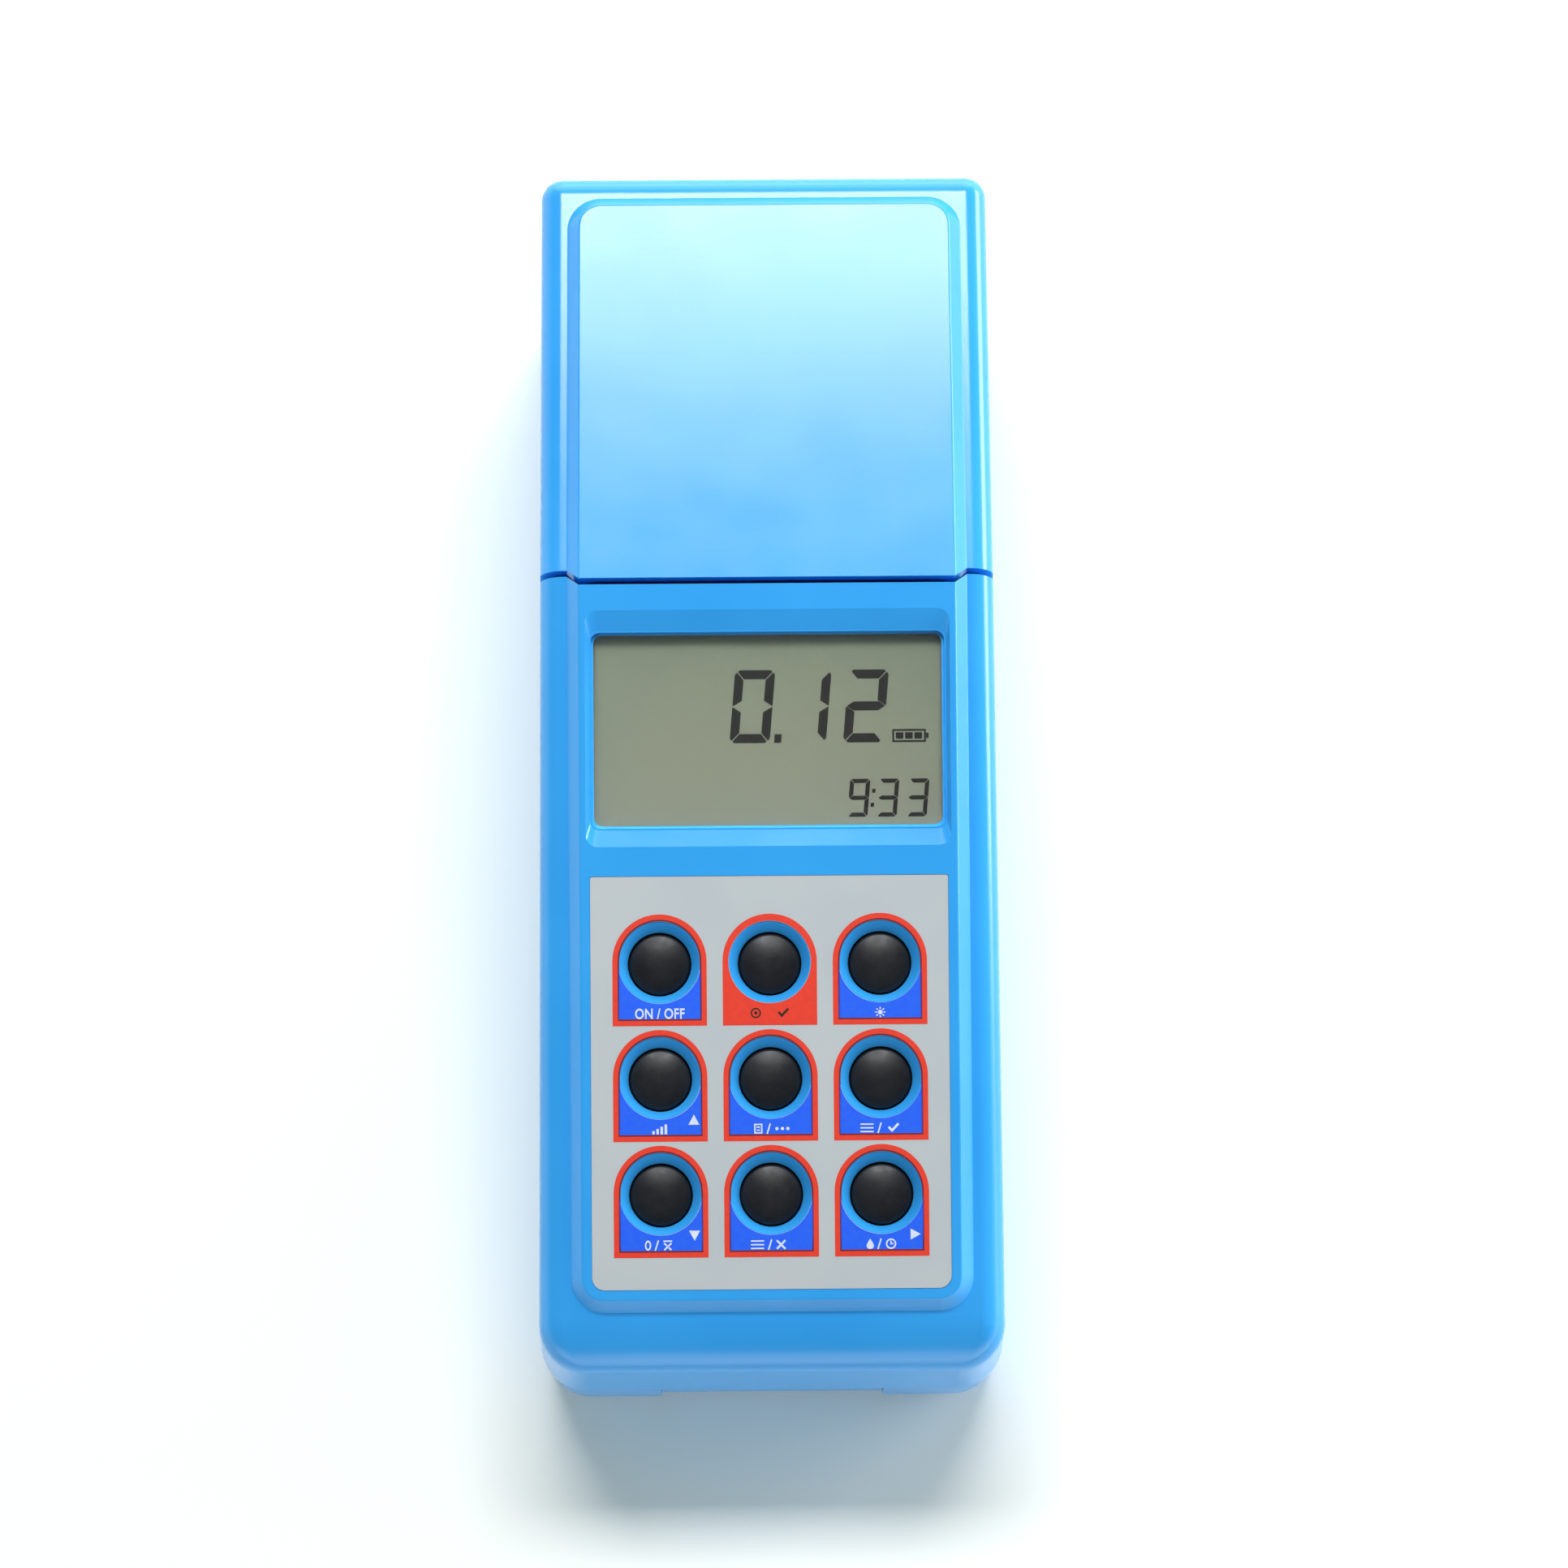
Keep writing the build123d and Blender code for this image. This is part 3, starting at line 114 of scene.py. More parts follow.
def add(tree, kind, inputs=None, **settings):
    """Adds a node with its settings, and sets or links its inputs by name or number."""
    node = tree.nodes.new(kind)
    for key, value in settings.items():
        setattr(node, key, value)
    for key, value in (inputs or {}).items():
        if isinstance(value, bpy.types.NodeSocket):
            tree.links.new(value, node.inputs[key])
        else:
            node.inputs[key].default_value = value
    return node


def new_material(name):
    """An empty node material with its output."""
    material = bpy.data.materials.new(name)
    material.use_nodes = True
    tree = material.node_tree
    tree.nodes.clear()
    return material, tree, tree.nodes.new("ShaderNodeOutputMaterial")


def rgba(colour):
    """A colour with full alpha."""
    return [*colour[:3], 1.0]


# Kinds of node that come back often. A range takes its value and its two pairs of limits as inputs
# 0 to 4, and a mix of colours takes its factor as input 0, its colours as 6 and 7, and gives output 2.
NOISE = "ShaderNodeTexNoise"
RANGE = "ShaderNodeMapRange"
MIX = "ShaderNodeMix"


def finish(name, main, second, cloud_mm=25.0, grain_mm=0.5, relief_mm=0.02, rough=0.4, spread=0.06,
           speck=None, **shader):
    """A surface with cloudy colour, fine grain in relief and uneven gloss.

    cloud_mm is how wide the clouds of the two colours are, grain_mm and relief_mm are the width
    and height of the grain, and speck is the colour of sparse fine dust."""
    material, tree, output = new_material(name)
    place = add(tree, "ShaderNodeTexCoord").outputs["Object"]
    clouds = add(tree, NOISE, {"Vector": place, "Scale": 1 / (cloud_mm * MM)}).outputs["Fac"]
    share = add(tree, RANGE, {0: clouds, 1: 0.35, 2: 0.65}).outputs[0]
    colour = add(tree, MIX, {0: share, 6: rgba(main), 7: rgba(second)}, data_type="RGBA").outputs[2]
    grain = add(tree, NOISE, {"Vector": place, "Scale": 1 / (grain_mm * MM)}).outputs["Fac"]
    if speck is not None:
        specks = add(tree, NOISE, {"Vector": place, "Scale": 1 / (DUST_WIDTH * MM), "Detail": 0.0})
        dust = add(tree, RANGE, {0: specks.outputs["Fac"], 1: 0.70, 2: 0.76, 4: 0.5}).outputs[0]
        colour = add(tree, MIX, {0: dust, 6: colour, 7: rgba(speck)}, data_type="RGBA").outputs[2]
    patches = add(tree, NOISE, {"Vector": place, "Scale": 3 / (cloud_mm * MM)}).outputs["Fac"]
    gloss = add(tree, RANGE, {0: patches, 1: 0.3, 2: 0.7, 3: rough - spread, 4: rough + spread}).outputs[0]
    bump = add(tree, "ShaderNodeBump", {"Height": grain, "Distance": relief_mm * MM, "Strength": 1.0})
    values = {"Base Color": colour, "Roughness": gloss, "Normal": bump.outputs["Normal"], **shader}
    surface = add(tree, "ShaderNodeBsdfPrincipled", values)
    tree.links.new(surface.outputs["BSDF"], output.inputs["Surface"])
    return material


def dress(material, *nodes):
    """Gives CAD nodes a material."""
    for name in nodes:
        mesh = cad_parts[name].data
        mesh.materials.clear()
        mesh.materials.append(material)


def flat_layer(name, outlines, depth, thickness, material, body="case"):
    """A thin printed layer on the sloping face: closed outlines in millimetres, with holes inside."""
    curve = bpy.data.curves.new(name, "CURVE")
    curve.dimensions = "2D"
    curve.fill_mode = "BOTH"
    curve.extrude = thickness * MM / 2
    for outline in outlines:
        spline = curve.splines.new("POLY")
        spline.points.add(len(outline) - 1)
        for point, (x, y) in zip(spline.points, outline):
            point.co = (x * MM, y * MM, 0.0, 1.0)
        spline.use_cyclic_u = True
    drawn = bpy.data.objects.new(name + "_drawing", curve)
    bpy.context.scene.collection.objects.link(drawn)
    bpy.context.view_layer.update()
    mesh = bpy.data.meshes.new_from_object(drawn)
    bpy.data.objects.remove(drawn)
    shape = bmesh.new()
    shape.from_mesh(mesh)
    bmesh.ops.remove_doubles(shape, verts=shape.verts, dist=1e-7)
    bmesh.ops.recalc_face_normals(shape, faces=shape.faces)
    shape.to_mesh(mesh)
    shape.free()
    mesh.name = name
    mesh.materials.clear()
    mesh.materials.append(material)
    piece = bpy.data.objects.new(name, mesh)
    bpy.context.scene.collection.objects.link(piece)
    piece.matrix_world = face_matrix(depth - thickness / 2)
    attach(piece, body)
    return piece


def circle(x, y, radius, count=48):
    """Points round a circle."""
    return [(x + radius * cos(2 * pi * i / count), y + radius * sin(2 * pi * i / count))
            for i in range(count)]


def arch(x, down, radius, bottom, count=36):
    """A round-topped key frame: a half circle over straight sides."""
    top = [(x + radius * cos(pi * i / count), -down + radius * sin(pi * i / count))
           for i in range(count + 1)]
    return [*top, (x - radius, -bottom), (x + radius, -bottom)]


def moved(outline, x, y, size=1.0):
    """An outline scaled and moved."""
    return [(x + px * size, y + py * size) for px, py in outline]


def bar(x0, y0, x1, y1, width):
    """A straight stroke between two points."""
    run = Vector((x1 - x0, y1 - y0))
    side = Vector((-run.y, run.x)).normalized() * width / 2
    return [(x0 + side.x, y0 + side.y), (x0 - side.x, y0 - side.y),
            (x1 - side.x, y1 - side.y), (x1 + side.x, y1 + side.y)]


def box_outline(x0, y0, x1, y1):
    """A rectangle."""
    return [(x0, y0), (x1, y0), (x1, y1), (x0, y1)]


# Outlines of the key marks in millimetres, in a cell 1.8 high whose middle is at 0, 0
MARKS = {
    "slash": [bar(-0.3, -0.95, 0.3, 0.95, 0.26)],
    "sun": [circle(0, 0, 0.42)] + [
        bar(0.6 * cos(pi * i / 4), 0.6 * sin(pi * i / 4), 0.95 * cos(pi * i / 4),
            0.95 * sin(pi * i / 4), 0.22) for i in range(8)],
    "bars": [box_outline(-1.3 + 0.75 * i, -0.9, -0.85 + 0.75 * i, -0.3 + 0.4 * i) for i in range(4)],
    "page": [box_outline(-0.75, -0.9, 0.75, 0.9), box_outline(-0.5, -0.65, 0.5, 0.65),
             box_outline(-0.3, 0.15, 0.3, 0.4), box_outline(-0.3, -0.4, 0.3, -0.15)],
    "tick": [[(-1.0, 0.0), (-0.7, 0.3), (-0.25, -0.2), (0.8, 0.9), (1.1, 0.6), (-0.25, -0.8)]],
    "zero": [[(0.62 * px, py) for px, py in circle(0, 0, 0.92)],
             [(0.5 * px, py) for px, py in circle(0, 0, 0.6)]],
    "mean": [box_outline(-0.8, 0.65, 0.8, 0.9), bar(-0.65, -0.85, 0.65, 0.4, 0.3),
             bar(-0.65, 0.4, -0.18, -0.05, 0.3), bar(0.18, -0.4, 0.65, -0.85, 0.3)],
    "cross": [[(-0.9, 0.65), (-0.65, 0.9), (0, 0.25), (0.65, 0.9), (0.9, 0.65), (0.25, 0),
               (0.9, -0.65), (0.65, -0.9), (0, -0.25), (-0.65, -0.9), (-0.9, -0.65), (-0.25, 0)]],
    "clock": [circle(0, 0, 0.95), circle(0, 0, 0.68),
              [(-0.12, -0.12), (0.45, -0.12), (0.45, 0.12), (0.12, 0.12), (0.12, 0.55), (-0.12, 0.55)]],
    "drop": [[(0.0, 0.98), (0.35, 0.4), (0.6, -0.05), (0.68, -0.35), (0.55, -0.7), (0.25, -0.9),
              (0.0, -0.94), (-0.25, -0.9), (-0.55, -0.7), (-0.68, -0.35), (-0.6, -0.05),
              (-0.35, 0.4)]],
    "lines": [box_outline(-1.2, 0.55, 1.2, 0.8), box_outline(-1.2, -0.12, 1.2, 0.13),
              box_outline(-1.2, -0.8, 1.2, -0.55)],
    "dots": [circle(-1.0, 0, 0.3), circle(0, 0, 0.3), circle(1.0, 0, 0.3)],
    "target": [circle(0, 0, 0.95), circle(0, 0, 0.68), circle(0, 0, 0.3)],
}

# Marks of the nine keys: each mark and its place along the line
KEY_MARKS = (
    (),
    (("target", -2.6), ("tick", 2.4)),
    (("sun", 0.0),),
    (("bars", -0.2),),
    (("page", -2.3), ("slash", -0.4), ("dots", 2.1)),
    (("lines", -2.6), ("slash", -0.3), ("tick", 2.2)),
    (("zero", -2.4), ("slash", -0.8), ("mean", 1.2)),
    (("lines", -2.6), ("slash", -0.3), ("cross", 1.7)),
    (("drop", -2.2), ("slash", -0.5), ("clock", 1.6)),
)
ARROWS = {3: "up", 6: "down", 8: "right"}
RED_KEY = 1

# Segments of the display's digits, lettered clockwise from the top, the middle one last
DIGITS = {"0": "abcdef", "1": "bc", "2": "abged", "3": "abgcd", "9": "abcdfg"}


def segment_shapes(width, height, thick, gap):
    """The seven segments of an upright digit whose lower left corner is at 0, 0."""
    mid = height / 2
    cut = thick * 0.42
    lean = thick * 0.55
    top = [(cut + gap, height), (width - cut - gap, height),
           (width - cut * 0.55 - gap, height - cut * 0.45),
           (width - thick - gap * 0.3, height - thick), (thick + gap * 0.3, height - thick),
           (cut * 0.55 + gap, height - cut * 0.45)]
    right = [(width - cut * 0.5, height - cut * 0.6), (width, height - cut * 1.3), (width, mid + gap),
             (width - gap, mid + gap * 0.7), (width - thick, mid + lean + gap),
             (width - thick, height - thick - gap * 1.2)]
    middle = [(gap * 1.2, mid), (gap * 1.2 + lean * 1.3, mid + thick / 2),
              (width - gap * 1.2 - lean * 1.3, mid + thick / 2), (width - gap * 1.2, mid),
              (width - gap * 1.2 - lean * 1.3, mid - thick / 2), (gap * 1.2 + lean * 1.3, mid - thick / 2)]
    bottom = [(x, height - y) for x, y in top]
    low_right = [(x, height - y) for x, y in right]
    left = [(width - x, y) for x, y in right]
    low_left = [(width - x, y) for x, y in low_right]
    return {"a": top, "b": right, "c": low_right, "d": bottom, "e": low_left, "f": left, "g": middle}


def digit(sign, right, middle_down, width, height, thick, gap, slant=0.088):
    """The slanted segments of one digit, by its right edge at half height."""
    shapes = segment_shapes(width, height, thick, gap)
    out = []
    for letter in DIGITS[sign]:
        out.append([(right - width + x + (y - height / 2) * slant, -middle_down + y - height / 2)
                    for x, y in shapes[letter]])
    return out


def lettering(name, words, size, spread, material):
    """Words as a thin text object, bolder by the spread, both in millimetres."""
    curve = bpy.data.curves.new(words, "FONT")
    curve.body = words
    curve.size = size * MM
    curve.offset = spread * MM
    curve.extrude = 0.01 * MM
    curve.align_x = "CENTER"
    curve.space_character = 1.06
    curve.materials.append(material)
    piece = bpy.data.objects.new(name, curve)
    bpy.context.scene.collection.objects.link(piece)
    return piece


class MeterPrint(bpy.types.PropertyGroup):
    """Sizes of the printed label."""

    frame_radius: FloatProperty(name="Frame radius", description="Outer radius of a key's printed frame",
                                default=8.62 * MM, unit="LENGTH", precision=5)
    frame_line: FloatProperty(name="Frame line", description="Width of the red line round a key",
                              default=0.95 * MM, unit="LENGTH", precision=5)
    frame_drop: FloatProperty(name="Frame drop", description="From a key's centre to the foot of its frame",
                              default=11.58 * MM, unit="LENGTH", precision=5)
    ink_height: FloatProperty(name="Ink height", description="Thickness of a printed layer",
                              default=0.02 * MM, unit="LENGTH", precision=6)


class MeterColours(bpy.types.PropertyGroup):
    """Colours of the meter."""

    case: FloatVectorProperty(name="Case", description="Blue of the moulded case", subtype="COLOR",
                              default=linear("#3AABF9"))
    case_shade: FloatVectorProperty(name="Case shade", description="Second blue of the moulded case",
                                    subtype="COLOR", default=linear("#35A6F5"))
    key: FloatVectorProperty(name="Key", description="Black of the rubber keys", subtype="COLOR",
                             default=linear("#1B1D20"))
    label: FloatVectorProperty(name="Label", description="Grey of the label film", subtype="COLOR",
                               default=linear("#BDC7CB"))
    red: FloatVectorProperty(name="Red ink", description="Red of the key frames", subtype="COLOR",
                             default=linear("#F0402A"))
    blue: FloatVectorProperty(name="Blue ink", description="Blue of the key fields", subtype="COLOR",
                              default=linear("#1C62FF"))


class MeterStage(bpy.types.PropertyGroup):
    """Lamps and floor."""

    back_power: FloatProperty(name="Back softbox", description="Power of the softbox behind the head",
                              default=21.5, min=0.0, unit="POWER")
    low_power: FloatProperty(name="Low back softbox", description="Power of the low softbox behind",
                             default=9.0, min=0.0, unit="POWER")
    front_power: FloatProperty(name="Front softbox", description="Power of the low softbox in front",
                               default=3.0, min=0.0, unit="POWER")
    right_power: FloatProperty(name="Right softbox", description="Power of the softbox at the right",
                               default=11.5, min=0.0, unit="POWER")
    walls: FloatProperty(name="Walls", description="Brightness of the room's walls", default=2.2, min=0.0)
    left_wall: FloatProperty(name="Left wall", description="Brightness of the room's left wall",
                             default=1.1, min=0.0)
    ceiling: FloatProperty(name="Ceiling", description="Brightness of the room's ceiling", default=0.1,
                           min=0.0)
    floor: FloatVectorProperty(name="Floor", description="Colour of the floor", subtype="COLOR",
                               default=linear("#FFFFFD"))


class METER_OT_case(bpy.types.Operator):
    """Finishes the moulded blue pieces of the case"""

    bl_idname = "meter.case"
    bl_label = "Blue case"

    def execute(self, context):
        colours = context.scene.meter_colours
        # ABS, injection moulded in a spark-eroded tool: an even colour with a soft satin sheen and a
        # fine grain. The real grain is 0.2 mm wide, and it is drawn coarser so that it shows.
        abs_blue = finish("Moulded_blue_ABS", colours.case, colours.case_shade, cloud_mm=30.0,
                          grain_mm=0.55, relief_mm=0.006, rough=0.2, spread=0.02, IOR=1.54)
        dress(abs_blue, "top_case", "bottom_case", "lid", "battery_cover", "lamp_cover")
        return {"FINISHED"}


class METER_OT_keys(bpy.types.Operator):
    """Finishes the rubber keys, their mat and the feet"""

    bl_idname = "meter.keys"
    bl_label = "Rubber keys and feet"

    def execute(self, context):
        colours = context.scene.meter_colours
        # Silicone rubber, compression moulded: near black, a broad soft highlight and clinging dust
        rubber = finish("Moulded_black_rubber", colours.key, linear("#202326"), cloud_mm=6.0,
                        grain_mm=0.35, relief_mm=0.01, rough=0.42, spread=0.06,
                        speck=linear("#2B2E31"), IOR=1.43)
        dress(rubber, *[f"key_{i + 1}" for i in range(9)])
        # The feet are the same rubber, duller from standing on tables
        feet = finish("Worn_black_rubber", linear("#222222"), linear("#2E2D2B"), cloud_mm=3.0,
                      grain_mm=0.4, relief_mm=0.03, rough=0.7, spread=0.1, IOR=1.5)
        dress(feet, "rubber_feet")
        # Silicone, moulded thin: milky grey, half clear
        silicone = finish("Moulded_grey_silicone", linear("#8E9496"), linear("#9AA0A2"),
                          cloud_mm=8.0, rough=0.5, IOR=1.43,
                          **{"Subsurface Weight": 0.3, "Subsurface Scale": 0.002})
        dress(silicone, "keypad_mat")
        return {"FINISHED"}


class METER_OT_label(bpy.types.Operator):
    """Finishes the label film and prints its frames and marks"""

    bl_idname = "meter.label"
    bl_label = "Printed label"

    def execute(self, context):
        colours = context.scene.meter_colours
        sizes = context.scene.meter_print
        # Polyester film, cast with a velvet surface and screen printed: flat grey, faint sheen
        film = finish("Printed_polyester_film", colours.label, linear("#C1CACD"), cloud_mm=18.0,
                      grain_mm=0.45, relief_mm=0.006, rough=0.5, spread=0.03, IOR=1.57)
        dress(film, "keypad_label")

        def ink(name, main, second):
            # Screen ink, printed behind the velvet film: even and strong, with a fine mottle
            return finish(name, main, second, cloud_mm=1.2, grain_mm=0.45, relief_mm=0.006,
                          rough=0.48, spread=0.03, IOR=1.5)

        red = ink("Screen_ink_red", colours.red, linear("#EA3D26"))
        blue = ink("Screen_ink_blue", colours.blue, linear("#2268FA"))
        white = ink("Screen_ink_white", linear("#E4EEFF"), linear("#D8E6FF"))
        dark = ink("Screen_ink_black", linear("#2A1A18"), linear("#30201C"))
        maroon = ink("Overprint_maroon", linear("#7C2020"), linear("#6C2030"))
        radius = sizes.frame_radius / MM
        line = sizes.frame_line / MM
        drop = sizes.frame_drop / MM
        ink_height = sizes.ink_height / MM
        red_lines, blue_fields, laps, white_marks, dark_marks = [], [], [], [], []
        for index in range(9):
            x = KEY_COLUMNS[index % 3]
            down = KEY_ROWS[index // 3]
            bottom = down + drop
            ring = circle(x, -down, KEY_HOLE, 96)
            red_lines.append(arch(x, down - ARCH_RISE, radius, bottom))
            if index == RED_KEY:
                red_lines.append(ring)
            else:
                edge = line + LAP_WIDTH
                inner = arch(x, down - ARCH_RISE, radius - line, bottom - line)
                within = arch(x, down - ARCH_RISE, radius - edge, bottom - edge)
                red_lines.append(inner)
                laps.extend((inner, within))
                blue_fields.append(field_outline(x, down, radius - edge, bottom - edge))
            marks = dark_marks if index == RED_KEY else white_marks
            for mark, shift in KEY_MARKS[index]:
                for outline in MARKS[mark]:
                    marks.append(moved(outline, x + shift, -(bottom - MARK_RISE)))
            if index in ARROWS:
                white_marks.append(arrow_outline(ARROWS[index], x + ARROW_SHIFT, -(down + ARROW_DROP)))
        top = LABEL_TOP - 0.005
        flat_layer("print_frames", red_lines, top, ink_height, red)
        flat_layer("print_fields", blue_fields, top, ink_height, blue)
        flat_layer("print_laps", laps, top, ink_height, maroon)
        flat_layer("print_marks", white_marks, top - ink_height, ink_height, white)
        flat_layer("print_check_marks", dark_marks, top - ink_height, ink_height, dark)
        on_off = lettering("print_on_off", "ON / OFF", 2.62, 0.05, white)
        foot = Vector((KEY_COLUMNS[0] * MM, -(KEY_ROWS[0] + drop - WORD_RISE) * MM, 0.0))
        narrow = Matrix.Diagonal((WORD_SQUEEZE, 1.0, 1.0, 1.0))
        on_off.matrix_world = face_matrix(top - 2 * ink_height) @ Matrix.Translation(foot) @ narrow
        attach(on_off, "case")
        return {"FINISHED"}


def field_outline(x, down, radius, bottom, count=48):
    """The blue field under a key: its sides, its foot and the arc of the well."""
    angle = pi * 0.02
    start = -angle
    end = pi + angle
    arc = []
    for i in range(count + 1):
        turn = end + (2 * pi + start - end) * i / count
        arc.append((x + KEY_HOLE * cos(turn), -down + KEY_HOLE * sin(turn)))
    edge = max(radius, KEY_HOLE)
    return [*arc, (x + edge, arc[-1][1]), (x + edge, -bottom), (x - edge, -bottom), (x - edge, arc[0][1])]


def arrow_outline(way, x, y):
    """A triangle that points up, down or right."""
    half, rise = 1.0, 0.92
    if way == "up":
        return [(x - half, y - rise), (x + half, y - rise), (x, y + rise)]
    if way == "down":
        return [(x - half, y + rise), (x, y - rise), (x + half, y + rise)]
    return [(x - rise, y - half), (x + rise, y), (x - rise, y + half)]


class METER_OT_display(bpy.types.Operator):
    """Finishes the window and the display glass, and draws the digits"""

    bl_idname = "meter.display"
    bl_label = "Display"

    def execute(self, context):
        # Acrylic, cast and polished: clear, with bright edges. Rays from lamps go straight through.
        window, tree, output = new_material("Cast_clear_acrylic")
        place = add(tree, "ShaderNodeTexCoord").outputs["Object"]
        clouds = add(tree, NOISE, {"Vector": place, "Scale": 1 / (12.0 * MM)}).outputs["Fac"]
        haze = add(tree, RANGE, {0: clouds, 1: 0.3, 2: 0.7, 3: 0.02, 4: 0.06}).outputs[0]
        clear = add(tree, "ShaderNodeBsdfPrincipled",
                    {"Base Color": [1.0, 1.0, 1.0, 1.0], "Roughness": haze, "IOR": 1.49,
                     "Transmission Weight": 1.0})
        through = add(tree, "ShaderNodeBsdfTransparent")
        shadow = add(tree, "ShaderNodeLightPath").outputs["Is Shadow Ray"]
        mix = add(tree, "ShaderNodeMixShader", {0: shadow, 1: clear.outputs[0], 2: through.outputs[0]})
        tree.links.new(mix.outputs[0], output.inputs["Surface"])
        dress(window, "display_window")
        # Liquid-crystal glass with a reflective polariser: grey-green with a fine mottle, and painted
        # shade that darkens it towards the head end
        glass, tree, output = new_material("Polarised_display_glass")
        place = add(tree, "ShaderNodeTexCoord").outputs["Object"]
        along = add(tree, "ShaderNodeSeparateXYZ", {0: place}).outputs["Y"]
        # Painted shade: the glass colour turns darker from the front end towards the head end
        fade = add(tree, RANGE, {0: along, 1: -16 * MM, 2: 20 * MM}).outputs[0]
        painted_shade_base = add(tree, MIX, {0: fade, 6: rgba(linear("#757868")), 7: rgba(linear("#67715F"))},
                   data_type="RGBA").outputs[2]
        clouds = add(tree, NOISE, {"Vector": place, "Scale": 1 / (1.1 * MM)}).outputs["Fac"]
        mottle = add(tree, RANGE, {0: clouds, 1: 0.3, 2: 0.7, 4: 0.35}).outputs[0]
        colour = add(tree, MIX, {0: mottle, 6: painted_shade_base, 7: rgba(linear("#737A66"))},
                     data_type="RGBA").outputs[2]
        surface = add(tree, "ShaderNodeBsdfPrincipled",
                      {"Base Color": colour, "Roughness": 0.32, "IOR": 1.5})
        tree.links.new(surface.outputs["BSDF"], output.inputs["Surface"])
        dress(glass, "lcd_panel")
        # Liquid crystal turned dark between the polarisers
        crystal = finish("Dark_liquid_crystal", linear("#0B0C0A"), linear("#0E0F0C"), cloud_mm=2.0,
                         relief_mm=0.002, rough=0.35, spread=0.03, IOR=1.5)
        shapes = []
        for signs, places, *sizes in (READING, CLOCK):
            for sign, place in zip(signs, places):
                shapes += digit(sign, place, *sizes)
        # The decimal point and the colon
        shapes.append([(1.12, -30.40), (2.42, -30.40), (2.56, -28.78), (1.26, -28.78)])
        shapes.append([(19.06, -39.72), (19.70, -39.72), (19.78, -38.98), (19.14, -38.98)])
        shapes.append([(18.76, -42.30), (19.40, -42.30), (19.48, -41.56), (18.84, -41.56)])
        # A cell gauge: outline, nub and bars
        shapes.append(box_outline(22.9, -30.4, 29.1, -28.0))
        shapes.append(box_outline(23.25, -30.05, 28.75, -28.35))
        shapes.append(box_outline(29.12, -29.7, 29.6, -28.7))
        for i in range(3):
            shapes.append(box_outline(23.55 + 1.72 * i, -29.8, 24.95 + 1.72 * i, -28.6))
        flat_layer("display_segments", shapes, GLASS_TOP - 0.01, 0.02, crystal)
        # Acrylic light guide with a frosted back, and carbon-loaded silicone strips
        guide = finish("Frosted_acrylic_guide", linear("#DDE3E4"), linear("#E6EAEA"), rough=0.3,
                       IOR=1.49, **{"Transmission Weight": 0.4})
        dress(guide, "backlight_panel")
        strips, tree, output = new_material("Striped_silicone_contact")
        place = add(tree, "ShaderNodeTexCoord").outputs["Object"]
        # Carbon lines 0.1 mm wide and 0.18 mm apart, drawn 0.36 mm apart so that they show. The wave
        # texture has one stripe in 2 pi / 20 of its own units.
        stripes = add(tree, "ShaderNodeTexWave", {"Vector": place, "Scale": 2 * pi / (20 * 0.36 * MM)},
                      bands_direction="X")
        colour = add(tree, MIX, {0: stripes.outputs["Fac"], 6: rgba(linear("#2A2A2C")),
                                 7: rgba(linear("#B8B9B4"))}, data_type="RGBA").outputs[2]
        surface = add(tree, "ShaderNodeBsdfPrincipled", {"Base Color": colour, "Roughness": 0.55})
        tree.links.new(surface.outputs["BSDF"], output.inputs["Surface"])
        dress(strips, "zebra_strips")
        return {"FINISHED"}


class METER_OT_optics(bpy.types.Operator):
    """Finishes the cuvette well, the lamp, the lens, the diode and the detectors"""

    bl_idname = "meter.optics"
    bl_label = "Optics"

    def execute(self, context):
        # ABS with carbon black, moulded matt so that it swallows stray light
        black = finish("Moulded_black_ABS", linear("#17181A"), linear("#1D1E20"), cloud_mm=12.0,
                       grain_mm=0.5, relief_mm=0.015, rough=0.5, spread=0.06, IOR=1.54)
        dress(black, "optical_block", "well_collar", "deck_plate", "lamp_holder", "buzzer")
        # Nickel-plated steel, drawn: bright, with faint rings
        can = finish("Drawn_nickel_can", linear("#B9B4AA"), linear("#C4C0B6"), cloud_mm=4.0,
                     grain_mm=0.6, relief_mm=0.004, rough=0.25, spread=0.06, Metallic=1.0)
        dress(can, "detector_90", "detector_180")
        for name, node, tint, rough in (("Blown_lamp_glass", "lamp", "#F4F1E8", 0.04),
                                        ("Ground_lens_glass", "lamp_lens", "#F2F8FA", 0.02),
                                        ("Cast_green_epoxy", "green_led", "#3FBF5C", 0.12)):
            # Glass or clear epoxy with the slight unevenness of its making
            clear = finish(name, linear(tint), linear("#FFFFFF") if node != "green_led" else
                           linear("#58CC70"), cloud_mm=2.0, grain_mm=1.5, relief_mm=0.004,
                           rough=rough + 0.02, spread=0.02, IOR=1.5, **{"Transmission Weight": 0.9})
            dress(clear, node)
        return {"FINISHED"}


